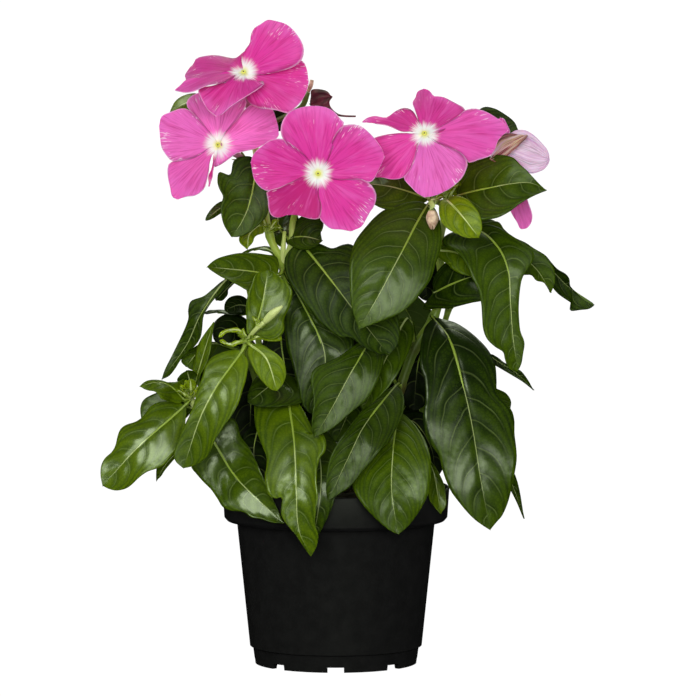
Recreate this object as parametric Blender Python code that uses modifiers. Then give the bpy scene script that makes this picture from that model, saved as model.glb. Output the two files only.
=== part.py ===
"""Potted Madagascar periwinkle, Catharanthus roseus, in its 10.5 cm nursery pot.

Metres, +Z up, front towards -Y. The origin is on the pot's axis, on the surface it stands on.
Leaves, petals and stems are given in millimetres by their places across, back and up.
"""

import bpy
import bmesh
from collections import namedtuple
from math import cos, pi, radians, sin
from mathutils import Vector

MM = 0.001
COLLECTION = "potted_madagascar_periwinkle"
GAP = 0.0003                      # clearance between pieces that touch

# Pot, in metres
RIM_RADIUS = 0.0525
POT_HEIGHT = 0.082
BAND_BOTTOM = 0.0665              # lower edge of the rim band
BAND_RADIUS = 0.0516
NECK_RADIUS = 0.0458              # just under the band
STEP_HEIGHT = 0.0082              # stacking step near the base
STEP_RADIUS = 0.0398
FOOT_RADIUS = 0.0374
FOOT_WIDTH = 0.0026
FOOT_DEPTH = 0.0030               # how far the underside is raised above the foot ring
PAD_RADIUS = 0.0080               # flat foot pad in the middle of the underside
WALL = 0.0013
FLOOR_TOP = 0.0046
POT_STEPS = 32
NOTCHES = 8                       # cut-outs in the foot ring
NOTCH_WIDTH = 0.0075
DRAIN_RADIUS = 0.0035
DRAIN_CIRCLE = 0.0225
SOIL_TOP = 0.0762
SOIL_CROWN = 0.0012               # how much the soil rises in the middle
SOIL_STEPS = 24
HOLE_CLEARANCE = 0.42             # round a stem where it stands in the soil, in millimetres

# Leaves and petals
LEAF_THICKNESS = 0.8 * MM
PETAL_THICKNESS = 0.7 * MM
EYE = Vector((5.6, -2500.0, 338.0)) * MM   # places are given as seen from here
STALK = 0.9                       # half width of a leaf stalk, in millimetres
TIP = 0.35                        # half width of a leaf's last row
WIDE_LEAF = 14                    # half width past which a leaf gets more columns
WAVY_LEAF = 1.5                   # so does one whose edge waves by more than this
MIDDLE_LEAF = 11                  # half widths up to which a leaf gets fewer rows
SMALL_LEAF = 7


def oval(width):
    return tuple(width / 2 * share for share in (0.42, 0.80, 1.00, 0.84, 0.42))


def spoon(width):
    return tuple(width / 2 * share for share in (0.30, 0.66, 0.96, 0.98, 0.60))


def lance(width):
    return tuple(width / 2 * share for share in (0.45, 0.85, 1.00, 0.70, 0.28))


# left and right are half widths at 7, 25, 50, 75 and 93 % of the blade, as a walker sees them
# who goes from the stalk to the tip on the upper face
Leaf = namedtuple("Leaf", "path left right face tip_face cup wave", defaults=(None, 0.10, 0.7))
Petal = namedtuple("Petal", "path left right face tip_face cup wave", defaults=(None, 0.10, 0.5))

FRONT = (0, -1, 0.25)
FRONT_UP = (0, -0.8, 0.6)

# Joints of the stems: where leaves leave them
LEFT = {
    "foot": (-12, 3, 46), "collar": (-13, 2, 84), "low": (-17, -1, 114), "middle": (-20, -2, 137),
    "upper": (-23, 0, 162), "fork": (-24.4, -2, 184), "arm": (-30.5, -3, 198),
    "crown": (-35, 0, 226), "top": (-38, 4, 244),
}
RIGHT = {
    "foot": (14, 4, 46), "collar": (16, 3, 84), "low": (23, -2, 108), "middle": (29.5, -2, 127),
    "upper": (36.5, -1, 146), "bend": (45, 0, 160), "high": (49, 1, 175), "neck": (47.5, 2, 194),
    "crown": (51.3, 0, 211), "top": (50.5, 0, 219),
}
SHOOT_A = {
    "foot": (-20, -8, 46), "collar": (-22, -8, 84), "low": (-32, -11, 115), "upper": (-39, -18, 138),
    "tip": (-41, -31, 149.5),
}
SHOOT_B = {
    "foot": (-30, -2, 46), "collar": (-32, -3, 84), "low": (-46, -11, 103), "middle": (-60, -17, 112),
    "tip": (-67.5, -21, 123),
}
BACK_LEFT = {
    "foot": (-18, 18, 46), "collar": (-20, 19, 84), "low": (-28, 18, 112), "middle": (-34, 14, 140),
    "upper": (-38, 9, 163), "tip": (-41, 7, 178),
}
BACK_MIDDLE = {
    "foot": (0, 24, 46), "collar": (0, 25, 84), "low": (-2, 29, 112), "middle": (1, 30, 140),
    "upper": (6, 28, 165), "tip": (10, 26, 184),
}
BACK_RIGHT = {
    "foot": (27, 20, 46), "collar": (29, 21, 84), "low": (37, 24, 106), "middle": (43, 23, 130),
    "upper": (48, 20, 150), "tip": (52, 18, 164),
}

Stem = namedtuple("Stem", "route radius tip_radius branches leaves")

STEMS = {
    "leafy_stem_left": Stem(
        LEFT, 2.3, 1.5,
        branches=[
            # right arm of the fork, to the middle bloom
            ([LEFT["fork"], (-20.5, -5, 194), (-20, -6, 203), (-18.5, -8.5, 208.8), (-17, -12.8, 211.4)],
             1.6, 1.5),
            ([LEFT["top"], (-38.3, 3, 249.2)], 1.4, 1.5),
            ([LEFT["crown"], (-39, 8.5, 231), (-42, 4.5, 233)], 1.2, 1.5),
            ([LEFT["top"], (-27, 11, 251), (-16, 10, 257), (-13, 8, 264)], 1.0, 1.3),
        ],
        leaves=[
            Leaf([LEFT["middle"], (-23, -11, 131), (-19.5, -38, 104), (-18.4, -55, 80),
                  (-17.2, -61, 62), (-11.4, -60, 49.4)],
                 left=(6, 11, 12, 8.5, 4), right=(8, 16.5, 15.5, 10.5, 4), face=(-0.1, -0.8, 0.6),
                 tip_face=(0, -1, 0.15), cup=0.12, wave=2.2),
            Leaf([LEFT["low"], (-14, -10, 112), (-8, -36, 98), (-7, -55.5, 80), (-11, -56.5, 54)],
                 left=(4, 7, 7.5, 5, 2), right=(4, 7, 7.5, 5, 2), face=FRONT_UP, tip_face=FRONT),
            Leaf([LEFT["middle"], (-22, -9, 135), (-30, -24, 129), (-41, -31, 120.5)],
                 left=(6, 12, 12.5, 10, 5), right=(5, 13, 9, 6.5, 4), face=(-0.1, -0.85, 0.5),
                 tip_face=FRONT),
            Leaf([LEFT["fork"], (-20.5, -9, 176), (-12, -18, 160), (-5, -24, 142), (-8, -31, 114)],
                 left=(1.5, 5, 11, 11, 6), right=(1.2, 4, 12, 13, 6), face=(-0.15, -0.9, 0.4),
                 tip_face=FRONT),
            Leaf([LEFT["fork"], (-26.5, -9, 180), (-39, -15, 181.8), (-59.4, -18, 183.5)],
                 left=(3, 8, 9, 5.2, 2), right=(3, 8.5, 8.3, 4.9, 1.8), face=(-0.1, -0.75, 0.65)),
            Leaf([LEFT["fork"], (-29, 0, 190.5), (-35.5, 3, 192.5), (-44, 4, 189)],
                 left=lance(5), right=lance(5), face=(0, -0.3, 1)),
            Leaf([(-20.5, -5, 194), (-16.5, -9, 195), (-3, -24, 178.5), (11, -33, 160), (24.6, -38, 143)],
                 left=(8, 18, 17, 12, 5), right=(10, 16.5, 17, 9, 4), face=(-0.1, -0.85, 0.5),
                 tip_face=(0, -0.95, 0.3), cup=0.08),
            Leaf([LEFT["crown"], (-36, -9, 232), (-39, -16, 216), (-42.5, -21, 206), (-47, -24, 197.5)],
                 left=(5, 9, 9, 9, 5.5), right=(7, 15, 13, 9, 4), face=(-0.1, -0.95, 0.2),
                 cup=0.15),
            Leaf([LEFT["crown"], (-42, -4, 218), (-52, -7, 215), (-60, -9, 209)],
                 left=lance(7), right=lance(7), face=(0.2, -0.6, 0.8)),
            Leaf([LEFT["arm"], (-34, -6, 203), (-39, -10, 198), (-41, -12, 191.5)],
                 left=oval(9), right=oval(9), face=(0.3, -0.8, 0.4)),
            Leaf([(-20.5, -5, 194), (-18, -9, 196), (-12, -15, 199), (-6, -19, 196.5)],
                 left=(4, 6, 6.5, 5, 3), right=(3, 5.5, 6, 5, 3), face=(0, -0.9, 0.35)),
            Leaf([(-20.5, -5, 194), (-23, 0, 198), (-26, 3, 206), (-25, 4, 218)],
                 left=oval(16), right=oval(16), face=(0, -1, 0)),
            Leaf([LEFT["top"], (-41, 4, 246), (-57, 8, 252), (-76, 8, 255)],
                 left=oval(14), right=oval(14), face=(-0.1, -0.7, 0.7)),
            Leaf([LEFT["top"], (-35, 5, 247), (-28, 12, 252), (-22, 14, 250)],
                 left=oval(14), right=oval(14), face=(0, -0.9, 0.4)),
            Leaf([LEFT["upper"], (-18, 6, 165), (-9, 14, 166), (-3, 18, 158), (0, 19, 145)],
                 left=oval(21), right=oval(21), face=(0.1, 0.3, 0.95), tip_face=(0.5, 0.5, 0.7)),
            Leaf([LEFT["low"], (-12, 4, 118), (2, 12, 119), (12, 16, 108), (16, 17, 92)],
                 left=oval(22), right=oval(22), face=(0, -0.5, 0.85), tip_face=FRONT),
            Leaf([LEFT["upper"], (-25, -6, 158), (-27, -11, 146), (-23, -13, 128)],
                 left=oval(18), right=oval(18), face=(-0.1, -1, 0.2)),
        ]),
    "leafy_stem_right": Stem(
        RIGHT, 2.4, 1.6,
        branches=[
            ([RIGHT["top"], (49, -4, 223.5)], 1.5, 1.5),
            ([RIGHT["top"], (54.5, 6, 221.5), (58.5, 4.5, 223.6)], 1.1, 1.4),
            ([RIGHT["crown"], (47, -14, 213.5), (44.4, -28.5, 213.2), (44.2, -30, 210.5)], 0.9, 1.7),
        ],
        leaves=[
            Leaf([RIGHT["low"], (28, -13, 117), (26.5, -40, 100), (25.8, -54.5, 79.5), (29, -56.5, 60)],
                 left=(7, 15, 18, 14.5, 5.5), right=(6, 14, 17.5, 15, 6), face=(0, -0.75, 0.65),
                 tip_face=(0, -1, 0.1), cup=0.05),
            Leaf([RIGHT["low"], (34, -8, 104), (44, -24, 92), (48.5, -37, 70)],
                 left=(3, 3.8, 3.6, 3.2, 2), right=(3, 3.8, 3.6, 3.2, 2), face=(0.2, -0.9, 0.3)),
            Leaf([RIGHT["middle"], (28, -14, 129), (14, -43, 111.5), (6.6, -54, 97), (-3.6, -61.5, 76.5)],
                 left=(5, 12.5, 11.5, 8, 4), right=(3, 8, 11, 9, 4), face=(-0.1, -0.85, 0.5),
                 tip_face=(0, -1, 0.2)),
            Leaf([RIGHT["middle"], (22, -10, 136), (10, -24, 124), (1, -33, 106)],
                 left=oval(18), right=oval(18), face=(-0.1, -0.9, 0.4)),
            Leaf([RIGHT["upper"], (21, -12, 154), (9.5, -32, 139), (-2.5, -43, 117), (-10, -47, 104.5)],
                 left=(3, 7, 12, 10, 4), right=(3, 7, 14, 10.5, 3.5), face=(-0.15, -0.85, 0.5),
                 tip_face=(0, -1, 0.2)),
            Leaf([RIGHT["upper"], (33.3, -9, 160), (23.5, -26, 142), (12.5, -35, 117)],
                 left=(4, 9, 11.5, 9, 4), right=(4, 9, 10, 8, 4), face=(-0.1, -0.9, 0.4)),
            Leaf([RIGHT["bend"], (45, -6, 160), (52.5, -24, 150.5), (59.2, -40, 127.4), (63.3, -48, 108.5),
                  (67, -54, 85.4), (71.4, -54, 61.5)],
                 left=(7, 16, 19.5, 14.7, 8), right=(6, 16, 20.5, 16.3, 9.5), face=(0.15, -0.75, 0.65),
                 tip_face=(0.15, -0.97, 0.15), cup=-0.06, wave=1.4),
            Leaf([RIGHT["bend"], (56, -3, 155), (72, -10, 143.5), (83, -14, 135.5), (91.5, -16, 126.7)],
                 left=lance(13), right=lance(13), face=(0.5, 0.1, 0.85)),
            Leaf([RIGHT["high"], (45, -5, 171.5), (54, -10, 176), (66, -13, 180), (76, -14, 181)],
                 left=oval(23), right=oval(23), face=(0, -0.95, 0.3)),
            Leaf([RIGHT["neck"], (47, -8, 191.5), (57, -12, 189.5), (67, -16, 180)],
                 left=oval(16), right=oval(16), face=(0, -0.9, 0.4)),
            Leaf([RIGHT["neck"], (64, -7, 200.5), (74, -18, 194), (79.5, -29, 182), (80.6, -36, 167),
                  (81.8, -40, 151), (83.6, -41, 135)],
                 left=(8, 12.5, 5, 4.8, 3.3), right=(13, 18.5, 14, 10.8, 4.4), face=(-0.1, -0.65, 0.75),
                 tip_face=(0.1, -0.98, 0.2), cup=0.12),
            Leaf([RIGHT["neck"], (63, -1, 202), (80, -7, 193), (92, -12, 183), (99.2, -16, 171.7)],
                 left=oval(19), right=oval(19), face=(0, -0.7, 0.7), tip_face=(0.2, -0.9, 0.3)),
            Leaf([RIGHT["crown"], (64, 6, 204), (84, 9, 194.5), (97, 9, 184.5), (107, 5, 174.5), (118.9, 2, 165.9)],
                 left=(4, 5.5, 3.5, 2.5, 1.5), right=(4, 8, 8, 7, 5), face=(0, -0.3, 0.95),
                 tip_face=(-0.4, -0.9, 0.1), cup=0.25),
            Leaf([RIGHT["crown"], (42.5, -11, 212.3), (29.5, -36, 189), (20, -47, 171), (10.5, -52, 154.2)],
                 left=(9, 15.3, 17, 12.3, 4), right=(7, 17.5, 21.5, 14.5, 5), face=(-0.15, -0.8, 0.55),
                 tip_face=(-0.1, -0.97, 0.25), cup=0.06, wave=0.5),
            Leaf([RIGHT["crown"], (56, -9, 216.5), (72, -18, 220.6), (88, -21, 222.6), (96.5, -22, 219)],
                 left=(9, 14.5, 13.5, 8.5, 2.5), right=(5, 13, 15, 9.5, 4), face=(0.1, -0.75, 0.65)),
            Leaf([RIGHT["crown"], (51, -18, 214.5), (57.5, -27, 208), (65, -33, 197.5)],
                 left=(5, 8.5, 9, 8, 5), right=(4, 8.5, 10, 8.5, 5), face=(0.1, -0.9, 0.4)),
            Leaf([RIGHT["crown"], (43, -4, 215), (26, -7, 220.6), (8, -5, 222.5)],
                 left=(5, 9, 9.5, 8, 4), right=(5, 8, 9, 8, 4), face=(0, -0.8, 0.6)),
            Leaf([RIGHT["top"], (54, 7, 222), (66, 16, 240), (82, 17, 249)],
                 left=oval(19), right=oval(19), face=(0, -0.9, 0.4)),
            Leaf([RIGHT["upper"], (32, 6, 150), (27, 13, 149), (19, 18, 138), (15, 19, 122)],
                 left=oval(22), right=oval(22), face=(0, -0.4, 0.9), tip_face=(0, -1, 0.1)),
            Leaf([RIGHT["low"], (27, 3, 110), (36, 3, 112), (44, 1, 100), (46, -1, 86)],
                 left=oval(15), right=oval(15), face=(0, -0.8, 0.6), tip_face=FRONT),
            Leaf([RIGHT["neck"], (45, 8, 197), (34, 20, 199), (22, 27, 190), (16, 29, 176)],
                 left=oval(23), right=oval(23), face=(0, 0.3, 1), tip_face=(-0.5, 0.6, 0.6)),
            Leaf([RIGHT["neck"], (43, 8, 193), (41, 9, 184), (42, 8, 168)],
                 left=oval(15), right=oval(15), face=(0, -0.95, 0.3)),
        ]),
    "leafy_shoot_middle_left": Stem(
        SHOOT_A, 1.9, 1.3,
        branches=[
            # pale bud on its stalk
            ([SHOOT_A["tip"], (-37.5, -37, 154), (-33, -40, 158)], 0.7, 0.8),
            ([(-33, -40, 158), (-29, -41.5, 162), (-25, -42, 165)], 1.5, 0.6),
        ],
        leaves=[
            Leaf([SHOOT_A["tip"], (-43.5, -35, 144.5), (-54.5, -45, 129.5), (-63, -50, 113), (-70.5, -52, 90.5)],
                 left=(6, 12, 15.2, 12, 7), right=(5, 9.7, 6.5, 4.2, 3.6), face=(-0.35, -0.7, 0.6),
                 tip_face=(-0.2, -0.95, 0.25), cup=0.05),
            Leaf([SHOOT_A["tip"], (-39.5, -36, 147.5), (-32, -43, 141), (-27.4, -47, 126.8)],
                 left=(3.5, 7, 8.2, 7, 3.5), right=(3.5, 7, 7.8, 6.5, 3), face=(-0.1, -0.85, 0.5)),
            Leaf([SHOOT_A["tip"], (-38, -33, 153), (-34, -30, 166), (-28.5, -27, 181)],
                 left=(3.5, 5, 7.4, 7.6, 5.5), right=(4, 11, 11.5, 9, 5), face=(0.1, -0.95, 0.2),
                 cup=0.15, wave=1.2),
            Leaf([SHOOT_A["tip"], (-44, -33, 154), (-50, -35, 154.2), (-54, -35, 151)],
                 left=oval(3.4), right=oval(3.4), face=(0, -0.5, 0.8)),
            Leaf([SHOOT_A["tip"], (-44.5, -34, 149), (-49, -36, 147.8), (-53.5, -37, 149.5)],
                 left=oval(3.4), right=oval(3.4), face=(0, -0.5, 0.8)),
            Leaf([SHOOT_A["tip"], (-37, -34, 151), (-31, -33, 152), (-25, -34, 150)],
                 left=oval(6), right=oval(6), face=(0, -0.8, 0.6)),
            Leaf([SHOOT_A["low"], (-35, -16, 111), (-38, -24, 98), (-35, -29, 82)],
                 left=oval(15), right=oval(15), face=(-0.1, -0.95, 0.3)),
            Leaf([SHOOT_A["upper"], (-44, -16, 140), (-54, -18, 136), (-60, -20, 125)],
                 left=oval(15), right=oval(15), face=(-0.3, -0.7, 0.6)),
        ]),
    "leafy_shoot_low_left": Stem(
        SHOOT_B, 1.8, 1.2,
        branches=[([SHOOT_B["tip"], (-69, -22, 127.5)], 1.1, 0.7)],
        leaves=[
            Leaf([SHOOT_B["tip"], (-70, -24, 119.3), (-90.5, -35, 101.3), (-107.4, -37, 82.1)],
                 left=(6.5, 11, 11.5, 10, 7), right=(5, 10, 14, 9, 6.5), face=(-0.35, -0.65, 0.7),
                 tip_face=(-0.3, -0.85, 0.45), cup=-0.08, wave=1.6),
            Leaf([SHOOT_B["middle"], (-67, -16, 104), (-75, -14, 95), (-83, -13, 84.5)],
                 left=lance(9), right=lance(9), face=(-0.75, -0.25, 0.6)),
            Leaf([SHOOT_B["tip"], (-70, -24, 126), (-78, -27, 129.8), (-90.5, -30, 128.4)],
                 left=oval(14), right=oval(11), face=(0, -0.35, 0.95), cup=-0.25),
            Leaf([SHOOT_B["middle"], (-66, -15, 118), (-78, -15, 119), (-89.5, -16, 113.5)],
                 left=(5, 10, 12, 10, 6), right=(3, 7, 8, 8, 5), face=(-0.2, -0.85, 0.5)),
            Leaf([SHOOT_B["middle"], (-60.4, -20, 109), (-55.5, -25, 101), (-48, -33, 88.5),
                  (-39.6, -42, 79), (-24, -51, 65)],
                 left=(8, 12, 9, 6, 3.5), right=(9, 14.5, 14, 10, 4.5), face=(-0.35, -0.55, 0.75),
                 tip_face=(-0.25, -0.9, 0.3), cup=0.1, wave=2.0),
            Leaf([SHOOT_B["tip"], (-66, -17, 127), (-62, -12, 141), (-56.5, -10, 158)],
                 left=lance(12), right=lance(12), face=(-0.85, -0.45, 0.2)),
        ]),
    "leafy_stem_back_left": Stem(
        BACK_LEFT, 2.1, 1.3, branches=[],
        leaves=[
            Leaf([BACK_LEFT["tip"], (-50, 3, 178), (-63.5, -1, 165), (-73, -3, 147), (-80.6, -4, 132)],
                 left=(3, 6, 7.5, 5, 2.5), right=(1.5, 3, 2.5, 1.5, 1), face=(-0.5, -0.75, 0.4), wave=1.2),
            Leaf([BACK_LEFT["upper"], (-46, 8, 170), (-56, 8, 166)],
                 left=oval(13), right=oval(13), face=(0, -0.9, 0.4)),
            Leaf([BACK_LEFT["upper"], (-45, 5, 161), (-53, 4, 162), (-60.5, 3, 161)],
                 left=lance(8), right=lance(8), face=(0, -0.25, 1)),
            Leaf([BACK_LEFT["upper"], (-40, 1, 168), (-45, -3, 168), (-50.5, -6, 164)],
                 left=oval(18), right=oval(18), face=(0, -0.9, 0.4)),
            Leaf([BACK_LEFT["middle"], (-40, 6, 150), (-47, -1, 154), (-56, -5, 150)],
                 left=oval(18), right=oval(18), face=(0, -0.9, 0.45)),
            Leaf([BACK_LEFT["middle"], (-54, 4, 148), (-63, 1, 146), (-71.5, -1, 140)],
                 left=oval(14), right=oval(14), face=(-0.1, -0.9, 0.4)),
            Leaf([BACK_LEFT["middle"], (-36, 8, 140), (-39, 4, 124), (-40, 2, 98)],
                 left=oval(25), right=oval(25), face=(0, -0.95, 0.3)),
            Leaf([BACK_LEFT["low"], (-36, 26, 118), (-48, 38, 119), (-57, 46, 110), (-61, 50, 96)],
                 left=spoon(25), right=spoon(25), face=(-0.3, 0.3, 0.9), tip_face=(-0.6, 0.7, 0.3)),
            Leaf([BACK_LEFT["middle"], (-40, 24, 148), (-50, 42, 148), (-57, 56, 134), (-58, 62, 116)],
                 left=spoon(28), right=spoon(28), face=(-0.2, 0.3, 0.95), tip_face=(-0.4, 0.9, 0.3)),
            Leaf([BACK_LEFT["upper"], (-38, 19, 172), (-40, 36, 176), (-40, 50, 168), (-38, 57, 154)],
                 left=spoon(25), right=spoon(25), face=(0, 0.2, 1), tip_face=(0, 0.9, 0.4)),
        ]),
    "leafy_stem_back": Stem(
        BACK_MIDDLE, 2.2, 1.3, branches=[],
        leaves=[
            Leaf([BACK_MIDDLE["low"], (-8, 36, 116), (-16, 54, 112), (-20, 68, 96), (-21, 72, 76)],
                 left=spoon(28), right=spoon(28), face=(-0.1, 0.3, 0.95), tip_face=(-0.2, 1, 0.2)),
            Leaf([BACK_MIDDLE["low"], (6, 36, 114), (17, 52, 108), (24, 64, 90), (26, 67, 70)],
                 left=spoon(28), right=spoon(28), face=(0.1, 0.3, 0.95), tip_face=(0.2, 1, 0.2)),
            Leaf([BACK_MIDDLE["middle"], (0, 38, 146), (-3, 56, 148), (-4, 72, 136), (-4, 80, 116)],
                 left=spoon(28), right=spoon(28), face=(0, 0.2, 1), tip_face=(0, 1, 0.3)),
            Leaf([BACK_MIDDLE["middle"], (4, 22, 138), (3, 12, 134), (0, 3, 122), (-3, -1, 106)],
                 left=oval(22), right=oval(22), face=(0, -0.6, 0.8), tip_face=(0, -1, 0.1)),
            Leaf([BACK_MIDDLE["upper"], (14, 34, 172), (26, 46, 172), (35, 54, 160), (38, 57, 142)],
                 left=spoon(25), right=spoon(25), face=(0.2, 0.2, 0.95), tip_face=(0.5, 0.8, 0.3)),
            Leaf([BACK_MIDDLE["upper"], (-1, 34, 171), (-10, 44, 174), (-16, 54, 167), (-19, 59, 152)],
                 left=spoon(22), right=spoon(22), face=(-0.1, 0.2, 1), tip_face=(-0.4, 0.9, 0.3)),
            Leaf([BACK_MIDDLE["tip"], (14, 34, 190), (19, 46, 192), (22, 55, 183)],
                 left=oval(15), right=oval(15), face=(0, 0.3, 1)),
            Leaf([BACK_MIDDLE["tip"], (6, 20, 190), (0, 12, 195), (-5, 7, 192)],
                 left=oval(13), right=oval(13), face=(0, -0.5, 0.9)),
        ]),
    "leafy_stem_back_right": Stem(
        BACK_RIGHT, 2.1, 1.3, branches=[],
        leaves=[
            Leaf([BACK_RIGHT["low"], (46, 30, 108), (58, 40, 104), (66, 48, 88), (68, 50, 70)],
                 left=spoon(26), right=spoon(26), face=(0.3, 0.3, 0.9), tip_face=(0.5, 0.8, 0.3)),
            Leaf([BACK_RIGHT["low"], (50, 17, 104), (66, 12, 102), (79, 6, 88), (87.3, 2, 66.9)],
                 left=lance(9), right=lance(9), face=(0.5, -0.6, 0.6), tip_face=(0.85, -0.5, 0.3)),
            Leaf([BACK_RIGHT["middle"], (42, 33, 136), (42, 50, 137), (42, 64, 124), (42, 70, 106)],
                 left=spoon(27), right=spoon(27), face=(0, 0.3, 0.95), tip_face=(0.3, 1, 0.3)),
            Leaf([BACK_RIGHT["middle"], (50, 14, 134), (60, 4, 134), (69, -4, 127), (74, -9, 111)],
                 left=oval(19), right=oval(19), face=(0.1, -0.6, 0.8), tip_face=(0.2, -0.95, 0.2)),
            Leaf([BACK_RIGHT["middle"], (37, 19, 124), (31, 14, 117), (27, 12, 102)],
                 left=oval(17), right=oval(17), face=(0, -0.9, 0.4)),
            Leaf([BACK_RIGHT["upper"], (54, 28, 147), (60, 42, 147), (63, 54, 136), (63, 60, 118)],
                 left=spoon(22), right=spoon(22), face=(0.3, 0.2, 0.95), tip_face=(0.5, 0.8, 0.3)),
            Leaf([BACK_RIGHT["upper"], (43, 13, 150), (38, 8, 139), (36, 6.5, 117)],
                 left=oval(20), right=oval(20), face=(0, -0.95, 0.3)),
            Leaf([BACK_RIGHT["tip"], (50, 28, 171), (50, 42, 174), (51, 54, 166)],
                 left=oval(21), right=oval(21), face=(0, 0.3, 1)),
            Leaf([BACK_RIGHT["tip"], (59, 14, 171), (68, 12, 176), (77, 9, 172)],
                 left=oval(15), right=oval(15), face=(0.1, -0.3, 1)),
        ]),
}

# Blooms: the middle of the eye, the end of the tube, and the five petals clockwise
Bloom = namedtuple("Bloom", "centre tube petals")
WIDE = (7, 12, 14.5, 12.5, 7)
BLOOMS = {
    "bloom_top_left": Bloom(
        (-42.4, -22, 273.2), [(-41.5, -4, 264), (-38.4, 2.8, 249.7)],
        [Petal((-21.5, -23, 294.5), (4, 8, 11, 10.5, 7), (6, 11, 13, 12, 6.5), (-0.1, -0.95, 0.3)),
         Petal((-15, -24, 259), WIDE, WIDE, (-0.1, -0.95, 0.25)),
         Petal((-54.8, -38, 253.4), (7, 12.5, 13, 11, 6), (6, 11, 13, 12, 7), (-0.1, -0.7, 0.75)),
         Petal((-73.7, -30, 264.4), (5, 9, 11, 9, 5), (5, 9, 12, 11, 6), (0.1, -0.4, 0.9)),
         Petal((-64.5, -10, 277.5), (5, 9, 12, 10, 5), (5, 9, 11, 9, 5), (0.1, -0.4, 0.9))]),
    "bloom_left": Bloom(
        (-54.1, -13, 239.7), [(-49, -4.8, 237.3), (-42.3, 4.1, 233.2)],
        [Petal((-62.7, 0, 263), WIDE, WIDE, (-0.35, -0.9, 0.3)),
         Petal((-27.6, -6, 251.5), (6, 12, 14, 12, 6), (4, 10, 14, 12, 6), (-0.2, -0.95, 0.25)),
         Petal((-58.7, -18, 221), (4, 6, 8, 8, 4), (4, 6, 8, 8, 4), (-0.95, -0.3, -0.1)),
         Petal((-73.8, -18, 215.5), (2, 4.3, 7.3, 7, 4.5), (5, 9, 12, 10, 5), (-0.3, -0.95, 0.1)),
         Petal((-81, -10, 244.6), (6, 10, 12, 10, 6), (6, 11, 13, 12, 7), (-0.3, -0.95, 0.2))]),
    "bloom_middle": Bloom(
        (-8.2, -40, 226.6), [(-11.5, -29, 221), (-16.8, -13.3, 211.7)],
        [Petal((-12.5, -39, 257.5), WIDE, WIDE, (0, -1, 0.05)),
         Petal((19.9, -40, 240), WIDE, WIDE, (0.05, -1, 0.05)),
         Petal((12, -42, 202), WIDE, WIDE, (0.05, -1, 0)),
         Petal((-27.8, -43, 208.8), (6, 11, 13, 12, 7), (6, 11, 13, 12, 7), (0, -1, 0)),
         Petal((-38.2, -40, 232), (6, 10, 12, 11, 6), (6, 10, 12, 11, 6), (-0.05, -1, 0.05))]),
    "bloom_right": Bloom(
        (40.7, -24, 245), [(43.5, -15.5, 237), (48.9, -4.4, 223.95)],
        [Petal((45.5, -2, 264.5), (4, 8, 10, 9.5, 6), (6, 12, 15, 13, 6), (0, -0.85, 0.5)),
         Petal((74.4, -20, 244), (6, 11, 12.5, 11, 6), (6, 11, 12.5, 11, 6), (0.15, -0.93, 0.3)),
         Petal((42.5, -34, 216), (8, 15, 18.5, 16, 8), (6, 10, 11, 10, 6), (0, -0.93, 0.35)),
         Petal((19.5, -24, 231), (6, 10, 11, 10, 5), (5, 9, 11, 10, 5), (-0.1, -0.95, 0.3)),
         Petal((12.6, -12, 250), (4, 6, 7, 4, 1.5), (4, 7, 9, 5, 1.5), (0, -0.7, 0.7))]),
}


def seen(point):
    """The place at the given depth that covers this spot of the plane through the pot's axis."""
    across, back, up = point
    spot = Vector((across, 0, up)) * MM
    return spot.lerp(EYE, back * MM / EYE.y)


def smooth_path(points, per_span=8):
    """Points along a Catmull-Rom curve through the given ones."""
    ends = [2 * points[0] - points[1]] + points + [2 * points[-1] - points[-2]]
    curve = []
    for start in range(len(points) - 1):
        p0, p1, p2, p3 = ends[start:start + 4]
        for step in range(per_span):
            t = step / per_span
            curve.append(0.5 * (2 * p1 + (p2 - p0) * t + (2 * p0 - 5 * p1 + 4 * p2 - p3) * t * t
                                + (3 * p1 - p0 - 3 * p2 + p3) * t ** 3))
    return curve + [points[-1]]


class Line:
    """A smooth line, read by the share of its length."""

    def __init__(self, points):
        self.points = points
        self.marks = [0.0]
        for a, b in zip(points, points[1:]):
            self.marks.append(self.marks[-1] + (b - a).length)

    def at(self, share):
        reach = max(0.0, min(1.0, share)) * self.marks[-1]
        for i in range(1, len(self.marks)):
            if reach <= self.marks[i] or i == len(self.marks) - 1:
                span = self.marks[i] - self.marks[i - 1]
                t = (reach - self.marks[i - 1]) / span if span else 0.0
                return self.points[i - 1].lerp(self.points[i], t)

    def along(self, share):
        return (self.at(share + 0.02) - self.at(share - 0.02)).normalized()


def half_width(stations, angle):
    """Half width of a blade; angle runs from 0 at its base to pi at its tip."""
    knots = (-stations[0], 0.0) + tuple(stations) + (0.0, -stations[-1])
    place = angle / (pi / 6)
    i = min(int(place), 5)
    t = place - i
    p0, p1, p2, p3 = knots[i:i + 4]
    return 0.5 * (2 * p1 + (p2 - p0) * t + (2 * p0 - 5 * p1 + 4 * p2 - p3) * t * t
                  + (3 * p1 - p0 - 3 * p2 + p3) * t ** 3)


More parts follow.
